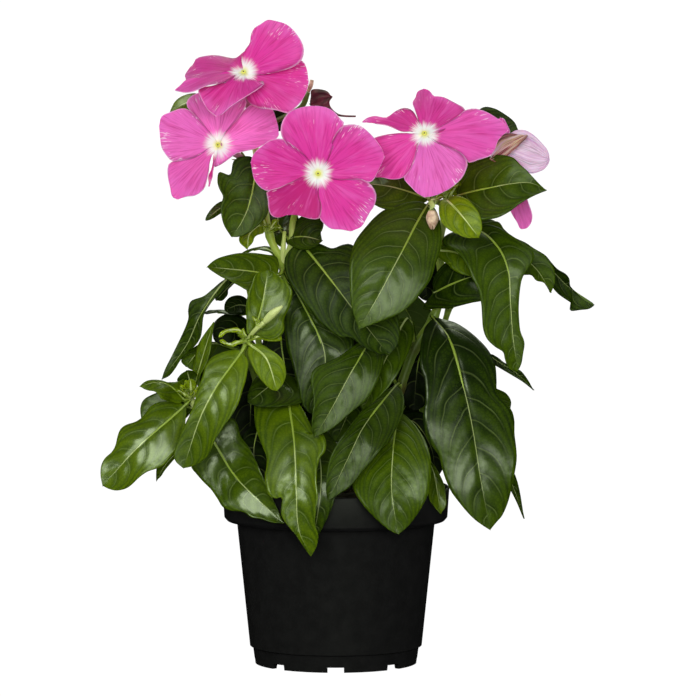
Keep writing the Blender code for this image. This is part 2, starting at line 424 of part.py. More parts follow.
def blade(name, spec, points, rows, columns, stalk_rows, thickness, waves=3):
    """One leaf or petal: a grid bent along its midrib, then thickened evenly."""
    curve = smooth_path(points)
    spans = 8 if stalk_rows else 0
    stalk_line = Line(curve[:spans + 1])
    rib = Line(curve[spans:])
    base_face = Vector(spec.face)
    tip_face = Vector(spec.tip_face or spec.face)
    bm = bmesh.new()
    bmesh.ops.create_grid(bm, x_segments=columns, y_segments=rows, size=1.0)
    for vert in bm.verts:
        across = vert.co.x
        row = (vert.co.y + 1) / 2 * rows
        if row < stalk_rows - 0.001:
            share = 0.0
            middle = stalk_line.at(row / stalk_rows)
            tangent = stalk_line.along(row / stalk_rows)
            width = STALK * MM
            angle = 0.0
        else:
            angle = pi * (row - stalk_rows) / (rows - stalk_rows)
            share = (1 - cos(angle)) / 2
            middle = rib.at(share)
            tangent = rib.along(share)
            side = spec.left if across < 0 else spec.right
            floor = STALK if share < 0.5 else TIP
            width = max(half_width(side, angle), floor) * MM
        face = base_face.lerp(tip_face, share)
        normal = (face - face.dot(tangent) * tangent).normalized()
        to_right = tangent.cross(normal)
        lift = spec.cup * width * across * across
        lift += spec.wave * MM * sin(angle) * across * across * sin(waves * angle + (2 if across < 0 else 0))
        vert.co = middle + to_right * across * width + normal * lift
    bmesh.ops.triangulate(bm, faces=bm.faces)
    bmesh.ops.recalc_face_normals(bm, faces=bm.faces)
    mesh = bpy.data.meshes.new(name)
    bm.to_mesh(mesh)
    bm.free()
    thin = bpy.data.objects.new(name, mesh)
    bpy.context.scene.collection.objects.link(thin)
    shell = thin.modifiers.new("thickness", "SOLIDIFY")
    shell.thickness = thickness
    shell.offset = 0.0
    return settled(thin)


def settled(item):
    """The same object with its modifiers applied, or its curve made a mesh."""
    bpy.context.view_layer.update()
    graph = bpy.context.evaluated_depsgraph_get()
    mesh = bpy.data.meshes.new_from_object(item.evaluated_get(graph))
    name = item.name
    done = bpy.data.objects.new(name, mesh)
    done.matrix_world = item.matrix_world
    bpy.data.objects.remove(item)
    done.name = name
    bm = bmesh.new()
    bm.from_mesh(mesh)
    bmesh.ops.remove_doubles(bm, verts=bm.verts, dist=0.000001)
    bmesh.ops.delete(bm, geom=[vert for vert in bm.verts if not vert.link_faces], context="VERTS")
    bmesh.ops.recalc_face_normals(bm, faces=bm.faces)
    bm.to_mesh(mesh)
    bm.free()
    return done


def tube(name, points, start_radius, end_radius, per_span=2, bulge=0.0, straight=0):
    """A round stem or corolla tube that tapers from its start to its end.

    bulge is added to the radius at its middle, and the first spans can stay straight.
    """
    curve = bpy.data.curves.new(name, "CURVE")
    curve.dimensions = "3D"
    curve.bevel_depth = 1.0
    curve.bevel_resolution = 1
    curve.use_fill_caps = True
    spline = curve.splines.new("POLY")
    line = points[:straight] + smooth_path(points[straight:], per_span)
    spline.points.add(len(line) - 1)
    for i, (point, spot) in enumerate(zip(spline.points, line)):
        share = i / (len(line) - 1)
        radius = start_radius + (end_radius - start_radius) * share + bulge * sin(pi * share)
        point.co = (*spot, 1)
        point.radius = radius * MM
    item = bpy.data.objects.new(name, curve)
    bpy.context.scene.collection.objects.link(item)
    return settled(item)


def joined(name, pieces):
    """One solid from pieces that run into each other."""
    body = pieces[0]
    rest = bpy.data.collections.new(name + "_pieces")
    bpy.context.scene.collection.children.link(rest)
    for piece in pieces[1:]:
        rest.objects.link(piece)
    bpy.context.scene.collection.objects.link(body)
    union = body.modifiers.new("join", "BOOLEAN")
    union.operation = "UNION"
    union.operand_type = "COLLECTION"
    union.collection = rest
    union.solver = "MANIFOLD"         # EXACT leaves open edges on two of the stems
    body.name = name
    whole = settled(body)
    for piece in pieces[1:]:
        bpy.data.objects.remove(piece)
    bpy.data.collections.remove(rest)
    return whole


def stem_pieces(name, stem):
    """The stem, its branches and its leaves, still apart."""
    route = [seen(point) for point in stem.route.values()]
    pieces = [tube(name, route, stem.radius, stem.tip_radius, straight=1)]
    for number, (points, start, end) in enumerate(stem.branches):
        pieces.append(tube(f"{name}.branch{number}", [seen(p) for p in points], start, end))
    for number, leaf in enumerate(stem.leaves):
        points = [seen(p) for p in leaf.path]
        widest = max(leaf.left + leaf.right)
        columns = 4 if widest > WIDE_LEAF or leaf.wave > WAVY_LEAF else 2
        rows = 7 if widest > MIDDLE_LEAF else 6 if widest > SMALL_LEAF else 5
        pieces.append(blade(f"{name}.leaf{number}", leaf, points, rows=rows, columns=columns,
                            stalk_rows=1, thickness=LEAF_THICKNESS))
    return pieces


def bloom_pieces(name, bloom):
    """The corolla tube and its five petals, still apart."""
    centre = seen(bloom.centre)
    neck = [seen(p) for p in bloom.tube]
    pieces = [tube(name, neck[::-1] + [centre], 1.2, 2.0, bulge=0.3)]
    for number, petal in enumerate(bloom.petals):
        tip = seen(petal.path)
        face = Vector(petal.face).normalized()
        middle = centre.lerp(tip, 0.5) + face * 0.06 * (tip - centre).length
        pieces.append(blade(f"{name}.petal{number}", petal, [centre, middle, tip], rows=5, columns=2,
                            stalk_rows=0, thickness=PETAL_THICKNESS))
    return pieces


def faded_bloom_pieces(name):
    """The spent bloom at the right: a pale petal, dry folds and one petal hanging down."""
    centre = (77, -5, 239)
    petals = [
        Petal([centre, (86, -8, 238), (96.5, -9, 228.5)], (3, 7, 8.5, 8, 5), (3, 7, 9, 8.5, 5),
              (0.2, -0.9, 0.3)),
        Petal([centre, (84, -10, 234), (92, -12, 226)], (2, 4, 5, 4.5, 3), (2, 4, 5, 4.5, 3), (-0.2, -0.9, 0.3)),
        Petal([centre, (80, -2, 228), (83.5, -3, 215), (86.3, -4, 201)], (2, 4, 4.2, 4, 3),
              (2, 4, 4.2, 4, 3), (-0.2, -0.95, 0.1)),
        Petal([centre, (80, -2, 246), (79, -1, 252)], (2, 4, 5, 4.5, 3), (2, 4, 5, 4.5, 3), (0, -0.9, 0.3)),
    ]
    neck = [(59.2, 4.2, 223.95), (68, 2.5, 226), (76, -1, 231), centre]
    pieces = [tube(name, [seen(p) for p in neck], 1.2, 2.0, bulge=0.3)]
    for number, petal in enumerate(petals):
        pieces.append(blade(f"{name}.petal{number}", petal, [seen(p) for p in petal.path], rows=5,
                            columns=2, stalk_rows=0, thickness=PETAL_THICKNESS))
    return pieces


def withered_bloom_pieces(name):
    """The small maroon bloom behind the left group, with its thread of a tail."""
    start = (-12.9, 7.8, 264.6)
    pieces = [tube(name, [seen(start), seen((-11.5, 7, 267)), seen((-11, 6.5, 269.5))], 1.2, 0.8)]
    lobe = Petal([(-11.8, 7.2, 266.5), (-7, 5, 264), (-2.5, 4, 258.5)], (3, 4.5, 5, 4, 2.5),
                 (2, 3.5, 4, 3, 2), (0.1, -0.95, 0.3))
    pieces.append(blade(f"{name}.lobe", lobe, [seen(p) for p in lobe.path], rows=4, columns=2,
                        stalk_rows=0, thickness=PETAL_THICKNESS))
    tail = [(-4, 4.3, 260), (-0.6, 4, 254.5), (4.6, 4, 253), (9.4, 4, 252.5)]
    pieces.append(tube(f"{name}.tail", [seen(p) for p in tail], 0.6, 0.45))
    return pieces


def dried_bud_pieces(name):
    """The dried calyx that hangs under the right group: a small urn with a ragged end."""
    pieces = [tube(name, [seen((44.2, -30.1, 210)), seen((44.3, -30.4, 206)), seen((44.5, -30.6, 202.5))],
                   1.7, 1.9, bulge=0.9)]
    for number in range(4):
        turn = number * pi / 2 + 0.4
        top = seen((44.4, -30.6, 203.5)) + Vector((cos(turn), sin(turn), 0)) * 1.3 * MM
        end = seen((44.4, -30.6, 200.4)) + Vector((cos(turn), sin(turn), 0)) * 1.7 * MM
        pieces.append(tube(f"{name}.tooth{number}", [top, end], 0.9, 0.35))
    return pieces


def turned(name, profile, steps):
    """A solid of revolution from a profile of radius and height that starts and ends on the axis."""
    mesh = bpy.data.meshes.new(name)
    bm = bmesh.new()
    verts = [bm.verts.new((radius, 0, height)) for radius, height in profile]
    for a, b in zip(verts, verts[1:]):
        bm.edges.new((a, b))
    bm.to_mesh(mesh)
    bm.free()
    item = bpy.data.objects.new(name, mesh)
    bpy.context.scene.collection.objects.link(item)
    spin = item.modifiers.new("turn", "SCREW")
    spin.steps = steps
    spin.render_steps = steps
    spin.use_merge_vertices = True
    spin.merge_threshold = 0.00001
    return settled(item)


def pot_pieces():
    """The turned pot, and the cutters for its foot notches and drain holes."""
    inner_top = RIM_RADIUS - WALL
    profile = [
        (0, FLOOR_TOP),
        (STEP_RADIUS - WALL - 0.0015, FLOOR_TOP),
        (STEP_RADIUS - WALL, STEP_HEIGHT),
        (NECK_RADIUS - WALL, BAND_BOTTOM - 0.001),
        (BAND_RADIUS - WALL - 0.0006, BAND_BOTTOM + 0.0022),
        (inner_top, POT_HEIGHT - 0.0006),
        (RIM_RADIUS - WALL / 2, POT_HEIGHT),
        (RIM_RADIUS, POT_HEIGHT - 0.0006),
        (BAND_RADIUS, BAND_BOTTOM + 0.0014),
        (BAND_RADIUS - 0.0012, BAND_BOTTOM),
        (NECK_RADIUS, BAND_BOTTOM - 0.0006),
        (STEP_RADIUS, STEP_HEIGHT),
        (STEP_RADIUS - 0.0014, STEP_HEIGHT - 0.0006),
        (FOOT_RADIUS, 0),
        (FOOT_RADIUS - FOOT_WIDTH, 0),
        (FOOT_RADIUS - FOOT_WIDTH - 0.0006, FOOT_DEPTH),
        (PAD_RADIUS + 0.0006, FOOT_DEPTH),
        (PAD_RADIUS, 0),
        (0, 0),
    ]
    pot = turned("pot", profile, POT_STEPS)
    cutters = []
    for number in range(NOTCHES):
        turn = 2 * pi * number / NOTCHES - pi / 2
        bpy.ops.mesh.primitive_cube_add(size=1, rotation=(0, 0, turn),
                                        location=(FOOT_RADIUS * cos(turn), FOOT_RADIUS * sin(turn), 0))
        notch = bpy.context.active_object
        notch.name = f"notch_cutter_{number}"
        notch.scale = (0.012, NOTCH_WIDTH, 2 * (FOOT_DEPTH - 0.0006))
        cutters.append(notch)
        hole_turn = turn + pi / NOTCHES
        if number % 2 == 0:
            bpy.ops.mesh.primitive_cylinder_add(
                vertices=12, radius=DRAIN_RADIUS, depth=0.02,
                location=(DRAIN_CIRCLE * cos(hole_turn), DRAIN_CIRCLE * sin(hole_turn), 0.004))
            drain = bpy.context.active_object
            drain.name = f"drain_cutter_{number}"
            cutters.append(drain)
    return pot, cutters


def soil_pieces():
    """The potting mix, and the cutters for the holes that the stems stand in."""
    def inside(height):
        share = (height - STEP_HEIGHT) / (BAND_BOTTOM - 0.001 - STEP_HEIGHT)
        return STEP_RADIUS + (NECK_RADIUS - STEP_RADIUS) * share - WALL - GAP - 0.0001

    edge = BAND_RADIUS - WALL - 0.0006 - GAP - 0.0003
    profile = [
        (0, SOIL_TOP + SOIL_CROWN),
        (0.020, SOIL_TOP + 0.7 * SOIL_CROWN),
        (0.040, SOIL_TOP),
        (edge, SOIL_TOP - 0.0012),
        (edge - 0.0001, BAND_BOTTOM + 0.0032),
        (inside(BAND_BOTTOM - 0.001), BAND_BOTTOM - 0.001),
        (inside(STEP_HEIGHT + 0.001), STEP_HEIGHT + 0.001),
        (STEP_RADIUS - WALL - 0.0026, FLOOR_TOP + GAP),
        (0, FLOOR_TOP + GAP),
    ]
    soil = turned("soil", profile, SOIL_STEPS)
    cutters = []
    for name, stem in STEMS.items():
        names = list(stem.route)
        foot = seen(stem.route[names[0]])
        collar = seen(stem.route[names[1]])
        below = foot - (collar - foot).normalized() * GAP
        above = foot + (collar - foot) * 1.02
        radius = stem.radius + HOLE_CLEARANCE
        hole = tube(f"hole_cutter_{name}", [below, above], radius, radius, per_span=1)
        bpy.context.scene.collection.objects.link(hole)
        cutters.append(hole)
    return soil, cutters


def cut(item, cutters, parts, guides):
    """Take the cutters out of a piece; they stay as hidden wire guides."""
    parts.objects.link(item)
    for cutter in cutters:
        for home in list(cutter.users_collection):
            home.objects.unlink(cutter)
        guides.objects.link(cutter)
        cutter.hide_render = True
        cutter.display_type = "WIRE"
        knife = item.modifiers.new(cutter.name, "BOOLEAN")
        knife.operation = "DIFFERENCE"
        knife.object = cutter
        knife.solver = "EXACT"


def material(name, colour, roughness):
    """A plain Principled finish."""
    finish = bpy.data.materials.new(name)
    finish.use_nodes = True
    shader = finish.node_tree.nodes["Principled BSDF"]
    shader.inputs["Base Color"].default_value = (*colour, 1)
    shader.inputs["Roughness"].default_value = roughness
    shader.inputs["Metallic"].default_value = 0.0
    return finish


def dress(item, finish):
    item.data.materials.clear()
    item.data.materials.append(finish)
    item.data.shade_smooth()
    item.data.set_sharp_from_angle(angle=radians(50))


def new_collection(name):
    group = bpy.data.collections.new(name)
    bpy.context.scene.collection.children.link(group)
    return group


def clear_scene():
    for item in list(bpy.data.objects):
        bpy.data.objects.remove(item)


def main():
    clear_scene()
    parts = new_collection(COLLECTION)
    guides = new_collection("cutters")
    black = material("black_plastic", (0.012, 0.012, 0.012), 0.45)
    earth = material("potting_mix", (0.035, 0.022, 0.014), 0.95)
    green = material("leaf_green", (0.055, 0.11, 0.012), 0.35)
    pink = material("petal_pink", (0.74, 0.08, 0.40), 0.55)
    pale = material("faded_petal", (0.72, 0.52, 0.66), 0.6)
    maroon = material("withered_petal", (0.10, 0.02, 0.035), 0.7)
    tan = material("dried_calyx", (0.50, 0.36, 0.20), 0.8)

    pot, pot_cutters = pot_pieces()
    cut(pot, pot_cutters, parts, guides)
    dress(pot, black)
    soil, soil_cutters = soil_pieces()
    cut(soil, soil_cutters, parts, guides)
    dress(soil, earth)

    for name, stem in STEMS.items():
        whole = joined(name, stem_pieces(name, stem))
        parts.objects.link(whole)
        dress(whole, green)
    for name, bloom in BLOOMS.items():
        whole = joined(name, bloom_pieces(name, bloom))
        parts.objects.link(whole)
        dress(whole, pink)
    small = {
        "faded_bloom": (faded_bloom_pieces, pale),
        "withered_bloom": (withered_bloom_pieces, maroon),
        "dried_bud": (dried_bud_pieces, tan),
    }
    for name, (pieces, finish) in small.items():
        whole = joined(name, pieces(name))
        parts.objects.link(whole)
        dress(whole, finish)


if __name__ == "__main__":
    main()
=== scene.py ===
import random
from math import atan2, cos, exp, pi, radians, sin
import bpy
import bmesh
from mathutils import Matrix, Vector, noise


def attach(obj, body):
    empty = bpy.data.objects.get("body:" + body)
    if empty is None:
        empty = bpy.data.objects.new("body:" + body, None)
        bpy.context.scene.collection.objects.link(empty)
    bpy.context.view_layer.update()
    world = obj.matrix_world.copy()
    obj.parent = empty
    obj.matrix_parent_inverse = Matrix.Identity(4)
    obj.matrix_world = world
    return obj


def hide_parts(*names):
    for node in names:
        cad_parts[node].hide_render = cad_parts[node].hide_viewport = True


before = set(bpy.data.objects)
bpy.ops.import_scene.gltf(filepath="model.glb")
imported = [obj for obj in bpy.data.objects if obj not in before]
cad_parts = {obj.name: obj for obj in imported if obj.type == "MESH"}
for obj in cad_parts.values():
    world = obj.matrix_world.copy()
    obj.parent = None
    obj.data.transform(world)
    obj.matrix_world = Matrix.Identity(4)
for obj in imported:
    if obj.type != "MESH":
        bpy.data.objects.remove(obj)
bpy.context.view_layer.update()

mm = 0.001
print("frame loaded:", ", ".join(sorted(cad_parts)))


def seenColour(colour):                                 # from the 0 to 255 that a screen shows
    def linear(level):
        level /= 255
        return level / 12.92 if level <= 0.04045 else ((level + 0.055) / 1.055) ** 2.4
    return (*map(linear, colour), 1.0)


# a Field is one output socket, and sums of Fields add their Math nodes
class Field:
    def __init__(self, finish, socket):
        self.finish = finish
        self.socket = socket

    def math(self, operation, *values, clamp=False):
        return self.finish.add("ShaderNodeMath", {"operation": operation, "use_clamp": clamp},
                               dict(enumerate(values)))

    def __add__(self, other):
        return self.math("ADD", self, other)

    def __sub__(self, other):
        return self.math("SUBTRACT", self, other)

    def __rsub__(self, other):
        return self.math("SUBTRACT", other, self)

    def __mul__(self, other):
        return self.math("MULTIPLY", self, other)

    def __truediv__(self, other):
        return self.math("DIVIDE", self, other)

    def __abs__(self):
        return self.math("ABSOLUTE", self)

    __radd__ = __add__
    __rmul__ = __mul__

    def within(self):                                   # kept from 0 to 1
        return self.math("ADD", self, 0.0, clamp=True)

    def fraction(self):
        return self.math("FRACT", self)

    def over(self, edge):                               # 1 past the edge, else 0
        return self.math("GREATER_THAN", self, edge)

    def rise(self, low, high):                          # a soft step from 0 at low to 1 at high
        return self.finish.add("ShaderNodeMapRange", {"interpolation_type": "SMOOTHSTEP"},
                               {"Value": self, "From Min": low, "From Max": high})


class Finish:
    def __init__(self, name, **constants):
        self.material = bpy.data.materials.new(name)
        self.material.use_nodes = True
        self.tree = self.material.node_tree
        self.shader = self.tree.nodes["Principled BSDF"]
        for socket, value in constants.items():
            self.shader.inputs[socket.replace("_", " ")].default_value = value

    def add(self, kind, settings=None, inputs=None, output=0):
        node = self.tree.nodes.new(kind)
        for key, value in (settings or {}).items():
            if key == "stops":                          # a ramp's places and colours
                ramp = node.color_ramp
                while len(ramp.elements) < len(value):
                    ramp.elements.new(0.5)
                for element, (place, colour) in zip(ramp.elements, value):
                    element.position = place
                    element.color = seenColour(colour)
            else:
                setattr(node, key, value)
        for key, value in (inputs or {}).items():
            if isinstance(value, Field):
                self.tree.links.new(value.socket, node.inputs[key])
            else:
                node.inputs[key].default_value = value
        return Field(self, node.outputs[output])

    def mark(self, name):                               # a number that the mesh carries
        return self.add("ShaderNodeAttribute", {"attribute_name": name}, output="Fac")

    def place(self):
        return self.add("ShaderNodeTexCoord", output="Object")

    def grain(self, vector, scale, detail=3.0):
        return self.add("ShaderNodeTexNoise", None, {"Vector": vector, "Scale": scale, "Detail": detail,
                                                     "Roughness": 0.55})

    def streaks(self, aside, ahead, seed, row):         # grain drawn out along a petal
        turns, shift, stretch, depth, detail = row
        spot = {0: aside * turns + seed * shift, 1: ahead * stretch, 2: seed * depth}
        return self.grain(self.add("ShaderNodeCombineXYZ", None, spot), 1.0, detail)

    def ramp(self, factor, stops):
        return self.add("ShaderNodeValToRGB", {"stops": stops}, {0: factor})

    def paint(self, ground, *coats):                    # colours over the ground, each by its share
        for colour, share in coats:
            ground = self.add("ShaderNodeMix", {"data_type": "RGBA"},
                              {0: share, 6: ground, 7: seenColour(colour)}, output=2)
        return ground

    def wear(self, socket, value):                      # links a result to the shader
        self.tree.links.new(value.socket, self.shader.inputs[socket])

    def relief(self, height, depth, strength):
        self.wear("Normal", self.add("ShaderNodeBump", None, {"Height": height, "Distance": depth,
                                                              "Strength": strength}))


leafLook = {
    # the near-black first stop serves leaves deep inside the bush, where a tone near 0 paints their shade
    "tones": [(0.0, (3, 9, 0)), (0.25, (22, 38, 2)), (0.5, (58, 80, 4)), (0.75, (96, 120, 8)),
              (0.88, (122, 144, 12)), (1.0, (166, 192, 30))],
    "vein": (142, 166, 84), "midrib": (204, 220, 142), "under": (96, 120, 58),
    "veinRise": (0.42, 1.6),                            # how a side vein bends towards the tip
    "veinLine": (0.008, 0.05), "veinEnd": (0.45, 0.88), "wobble": 8.0,
    "patch": 0.24, "fine": 0.13, "roughness": 0.42, "underRoughness": 0.16,
    "wobbleScale": 60, "patchScale": 42, "fineScale": 260, "netScale": 620, "crinkleScale": 380, "sheenScale": 38,
}


def leafFinish(name, look, underside):
    leaf = Finish(name, Specular_IOR_Level=0.08, Coat_Roughness=0.22, Coat_IOR=1.55)
    across, along, tone = map(leaf.mark, ("across", "along", "tone"))
    fromRib = abs(leaf.mark("fromRib"))
    place = leaf.place()
    out = abs(across)
    bend = (look["veinRise"][0] + look["veinRise"][1] * (out * out * out)) * fromRib
    wobble = look["wobble"] * (leaf.grain(place, look["wobbleScale"], 1.0) - 0.5)
    phase = (leaf.mark("run") - bend + wobble) / leaf.mark("spacing")
    phase = phase + across.over(0.0) * 0.5              # whole on the side veins, which take turns
    nearVein = abs((phase + 0.5).fraction() - 0.5)
    fromVein = nearVein / (1 + 5 * out * out * out)
    vein = (1 - fromVein.rise(*look["veinLine"])) * (1 - out.rise(*look["veinEnd"])) * along.rise(0.0, 0.03)
    ribWidth = (0.62 - 0.5 * along) * (0.6 + 0.55 * tone)
    midrib = (1 - (fromRib / ribWidth).rise(0.45, 1.2)) * (1 - along.rise(0.78, 0.98))
    patch = leaf.grain(place, look["patchScale"], 2.0) - 0.5
    fine = leaf.grain(place, look["fineScale"]) - 0.5
    net = leaf.add("ShaderNodeTexVoronoi", {"feature": "DISTANCE_TO_EDGE"},
                   {"Vector": place, "Scale": look["netScale"]}).rise(0.0, 0.22)
    between = nearVein.rise(0.0, 0.42)                  # a little darker beside the veins
    shade = tone + look["patch"] * patch + look["fine"] * fine + 0.12 * (between - 0.5) - 0.06 * (1 - net)
    ground = leaf.ramp(shade.within(), look["tones"])
    if underside:
        ground = leaf.paint(ground, (look["under"], 0.6))
    leaf.wear("Base Color", leaf.paint(
        ground, (look["vein"], vein * (0.16 + 0.24 * tone) * (0.8 + 1.2 * patch)),
        (look["midrib"], midrib * (0.28 + 1.0 * tone - 0.3 * along).within())))
    rough = look["underRoughness"] if underside else 0.0
    leaf.wear("Roughness", look["roughness"] + rough + 0.18 * patch + 0.06 * fine + 0.12 * vein)
    if not underside:
        crinkle = leaf.grain(place, look["crinkleScale"], 4.0) - 0.5
        band = along.rise(0.08, 0.5) * (1 - 0.6 * along.rise(0.75, 1.0)) * (1 - 0.6 * out.rise(0.5, 1.0))
        sheen = band * (0.14 + 1.2 * leaf.grain(place, look["sheenScale"], 2.0).rise(0.36, 0.62)) + 1.5 * crinkle
        leaf.wear("Coat Weight", (leaf.mark("gloss") * (0.04 + 1.05 * sheen)).within())
    way = 1.0 if underside else -1.0
    leaf.relief(way * (0.8 * vein + 0.8 * midrib) + 0.10 * net + 0.06 * fine, 0.0002, 0.7)
    return leaf.material


petalLook = {
    # deep and light mix in each petal's painted shade and painted light by its tone, and bright its strongest painted
    # light; deep and light also colour the streaks, rays and paler margins
    "petal": (224, 58, 162), "deep": (180, 18, 108), "light": (236, 112, 200), "bright": (255, 132, 216),
    # the rim colour is a painted rim light round each petal's edge, and the darkest crimson a painted shadow where
    # one petal overlaps the next
    "rim": (248, 196, 234), "eye": (252, 250, 246), "throat": (244, 242, 150), "fleck": (252, 228, 244),
    "overlapShade": (120, 14, 70), "eyeReach": (3.6, 7.8), "throatReach": (0.8, 3.2), "roughness": 0.55, "patchScale": 60,
    # rays, streaks, hairs, dashes and where the dashes are: turns, shift by seed, stretch, depth by seed, detail
    "streaks": [(7, 40, 0.05, 1, 2.0), (17, 70, 0.07, 1, 2.0), (42, 110, 0.12, 1, 1.0), (52, 50, 0.26, 3, 1.0),
                (2.5, 90, 0.10, 1, 1.0)],
}


def petalFinish(name, look):
    petal = Finish(name, Sheen_Weight=0.08, Sheen_Roughness=0.5, Specular_IOR_Level=0.15,
                   Subsurface_Weight=0.12, Subsurface_Scale=0.002)
    out = abs(petal.mark("across"))
    along, reach, turn, seed = map(petal.mark, ("along", "reach", "turn", "seed"))
    tone = petal.mark("tone")                           # painted shade above 0 and painted light below, for how each petal faces and the shadows cast on it
    ray, streak, hair, dashes, where = (petal.streaks(turn, reach, seed, row) for row in look["streaks"])
    patch = petal.grain(petal.place(), look["patchScale"], 2.0)
    # rim: a pale line round each petal's edge, painted rim light
    rim = (out.rise(0.94, 1.0) * along.rise(0.2, 0.5) + along.rise(0.98, 1.0)).within()
    toRim = (out.rise(0.35, 1.0) * along.rise(0.25, 0.8) + along.rise(0.60, 1.0)).within()
    lines = (1 - streak.rise(0.34, 0.52)) * 0.32 + (1 - hair.rise(0.34, 0.50)) * 0.24
    # painted shadow: a crimson band along each petal's sides near the eye, where the neighbouring petal overlaps and
    # shades it
    overlapShade = out.rise(0.78, 1.0) * (1 - along.rise(0.35, 0.7)) * 0.55
    fleck = dashes.rise(0.60, 0.68) * where.rise(0.50, 0.62) * (along.rise(0.55, 0.85) + out.rise(0.6, 0.9)).within()
    feather = reach + 5.0 * (streak - 0.5) + 4.0 * (hair - 0.5) + 3.0 * (ray - 0.5)
    petal.wear("Base Color", petal.paint(
        seenColour(look["petal"]), (look["light"], toRim * patch.rise(0.3, 0.65) * 0.8),
        (look["deep"], (0.8 * tone).within()), (look["light"], (-1.0 * tone).within()),
        (look["bright"], (-1.0 - tone).within()), (look["deep"], lines.within()),
        (look["light"], ray.rise(0.50, 0.72) * 0.35), (look["overlapShade"], overlapShade), (look["fleck"], fleck * 0.8),
        (look["rim"], rim * 0.55), (look["eye"], 1 - feather.rise(*look["eyeReach"])),
        (look["throat"], 0.9 * (1 - reach.rise(*look["throatReach"])))))
    petal.wear("Roughness", look["roughness"] + 0.12 * (patch - 0.5))
    petal.relief(0.6 * streak + 0.4 * hair + 0.5 * ray, 0.0003, 0.7)
    return petal.material


fadedLook = {                                           # by how far a petal has dried; its darkest maroon also paints the shade under a neighbouring petal
    "pale": (240, 222, 238), "flush": (206, 158, 200), "line": (150, 104, 140), "roughness": 0.6,
    "dried": [(0.0, (228, 206, 226)), (0.25, (214, 178, 186)), (0.45, (208, 192, 134)), (0.6, (196, 150, 142)),
              (0.78, (150, 78, 80)), (1.0, (88, 24, 50))],
    "patchScale": 120, "streaks": [(16, 31, 2.0, 1, 2.0), (4.0, 17, 1.2, 1, 2.0)],   # hairs and folds
}


def fadedFinish(name, look):
    faded = Finish(name, Sheen_Weight=0.3, Specular_IOR_Level=0.2, Subsurface_Weight=0.1, Subsurface_Scale=0.002)
    across, along, seed, tone = map(faded.mark, ("across", "along", "seed", "tone"))
    hair, fold = (faded.streaks(across, along, seed, row) for row in look["streaks"])
    patch = faded.grain(faded.place(), look["patchScale"], 2.0)
    age = (tone + 1.9 * (fold - 0.5) + 1.9 * (hair - 0.5)).within()
    fresh = 1 - tone.rise(0.1, 0.3)
    rim = (along.rise(0.9, 1.0) + abs(across).rise(0.9, 1.0)).within()
    faded.wear("Base Color", faded.paint(
        faded.ramp(age, look["dried"]), (look["pale"], fresh * 0.7),
        (look["line"], fresh * (1 - hair.rise(0.36, 0.44)) * 0.6),
        (look["flush"], fresh * (hair.rise(0.42, 0.58) * 0.6 + fold.rise(0.5, 0.65) * 0.4).within()),
        (look["flush"], fresh * rim * 0.7)))
    faded.wear("Roughness", look["roughness"] + 0.2 * (patch - 0.5))
    faded.relief(hair + 0.5 * patch, 0.0003, 0.8)
    return faded.material


stemLook = {
    "tones": [(0.0, (70, 28, 30)), (0.25, (74, 70, 26)), (0.5, (88, 112, 36)), (0.75, (146, 170, 58)),
              (1.0, (206, 220, 140))],
    "roughness": 0.45,
}


def stemFinish(name, look):
    stem = Finish(name, Coat_Weight=0.15, Coat_Roughness=0.3)
    place = stem.place()
    grain = stem.grain(place, 300)
    stem.wear("Base Color", stem.ramp((stem.mark("tone") + 0.12 * (grain - 0.5)).within(), look["tones"]))
    stem.wear("Roughness", look["roughness"] + 0.2 * (stem.grain(place, 45, 1.0) - 0.5))
    stem.relief(grain, 0.0002, 0.4)
    return stem.material


def plainFinish(name, light, dark, scale, roughness, depth, **constants):
    plain = Finish(name, **constants)
    place = plain.place()
    grain = plain.grain(place, scale, 4.0)
    spread = plain.grain(place, scale / 8, 2.0)
    plain.wear("Base Color", plain.paint(seenColour(dark), (light, (0.5 * grain + 0.5 * spread).rise(0.35, 0.65))))
    plain.wear("Roughness", roughness + 0.18 * (spread - 0.5))
    plain.relief(grain, depth, 0.6)
    return plain.material


leafUpper = leafFinish("leaf_upper", leafLook, False)
leafUnder = leafFinish("leaf_under", leafLook, True)
petalFace = petalFinish("petal_pink", petalLook)
petalFaded = fadedFinish("petal_faded", fadedLook)
stemGreen = stemFinish("stem_green", stemLook)
throatYellow = plainFinish("throat_yellow", (240, 238, 120), (214, 214, 84), 900, 0.7, 0.0001)
# the pin-hole's dark dot is painted shade, standing in for the shaded opening of the tube
throatDark = plainFinish("throat_dark", (60, 50, 22), (24, 22, 10), 900, 0.8, 0.0001)
maroonPetal = plainFinish("maroon_petal", (112, 38, 56), (52, 16, 26), 300, 0.6, 0.0003)
driedCalyx = plainFinish("dried_calyx", (236, 212, 178), (172, 124, 104), 520, 0.75, 0.0003)
earth = plainFinish("potting_mix", (44, 34, 22), (14, 11, 7), 240, 0.95, 0.0015)
bark = plainFinish("bark_crumb", (74, 52, 32), (26, 18, 11), 300, 0.9, 0.0008)
tubePink = plainFinish("tube_pink", (226, 150, 190), (160, 120, 120), 500, 0.6, 0.0002)
blackPlastic = plainFinish("black_plastic", (25, 25, 25), (20, 20, 20), 1500, 0.5, 0.00003, Specular_IOR_Level=0.26)
print("finishes made")


# leaves, petals and stems are given in millimetres across, back and up, as seen from this eye
eye = Vector((5.6, -2500.0, 338.0)) * mm
front = (0, -1, 0.25)
frontUp = (0, -0.8, 0.6)
photo = {"axis": 335.8, "foot": 665, "scale": 0.4615}   # the pot's middle and foot in pixels, and mm to a pixel


def fromPhoto(px, py, back=0.0):                        # millimetres across, back and up for a place in the photo
    return ((px - photo["axis"]) * photo["scale"], back, (photo["foot"] - py) * photo["scale"])


def seen(point):
    across, back, up = point
    spot = Vector((across, 0, up)) * mm
    return spot.lerp(eye, back * mm / eye.y)


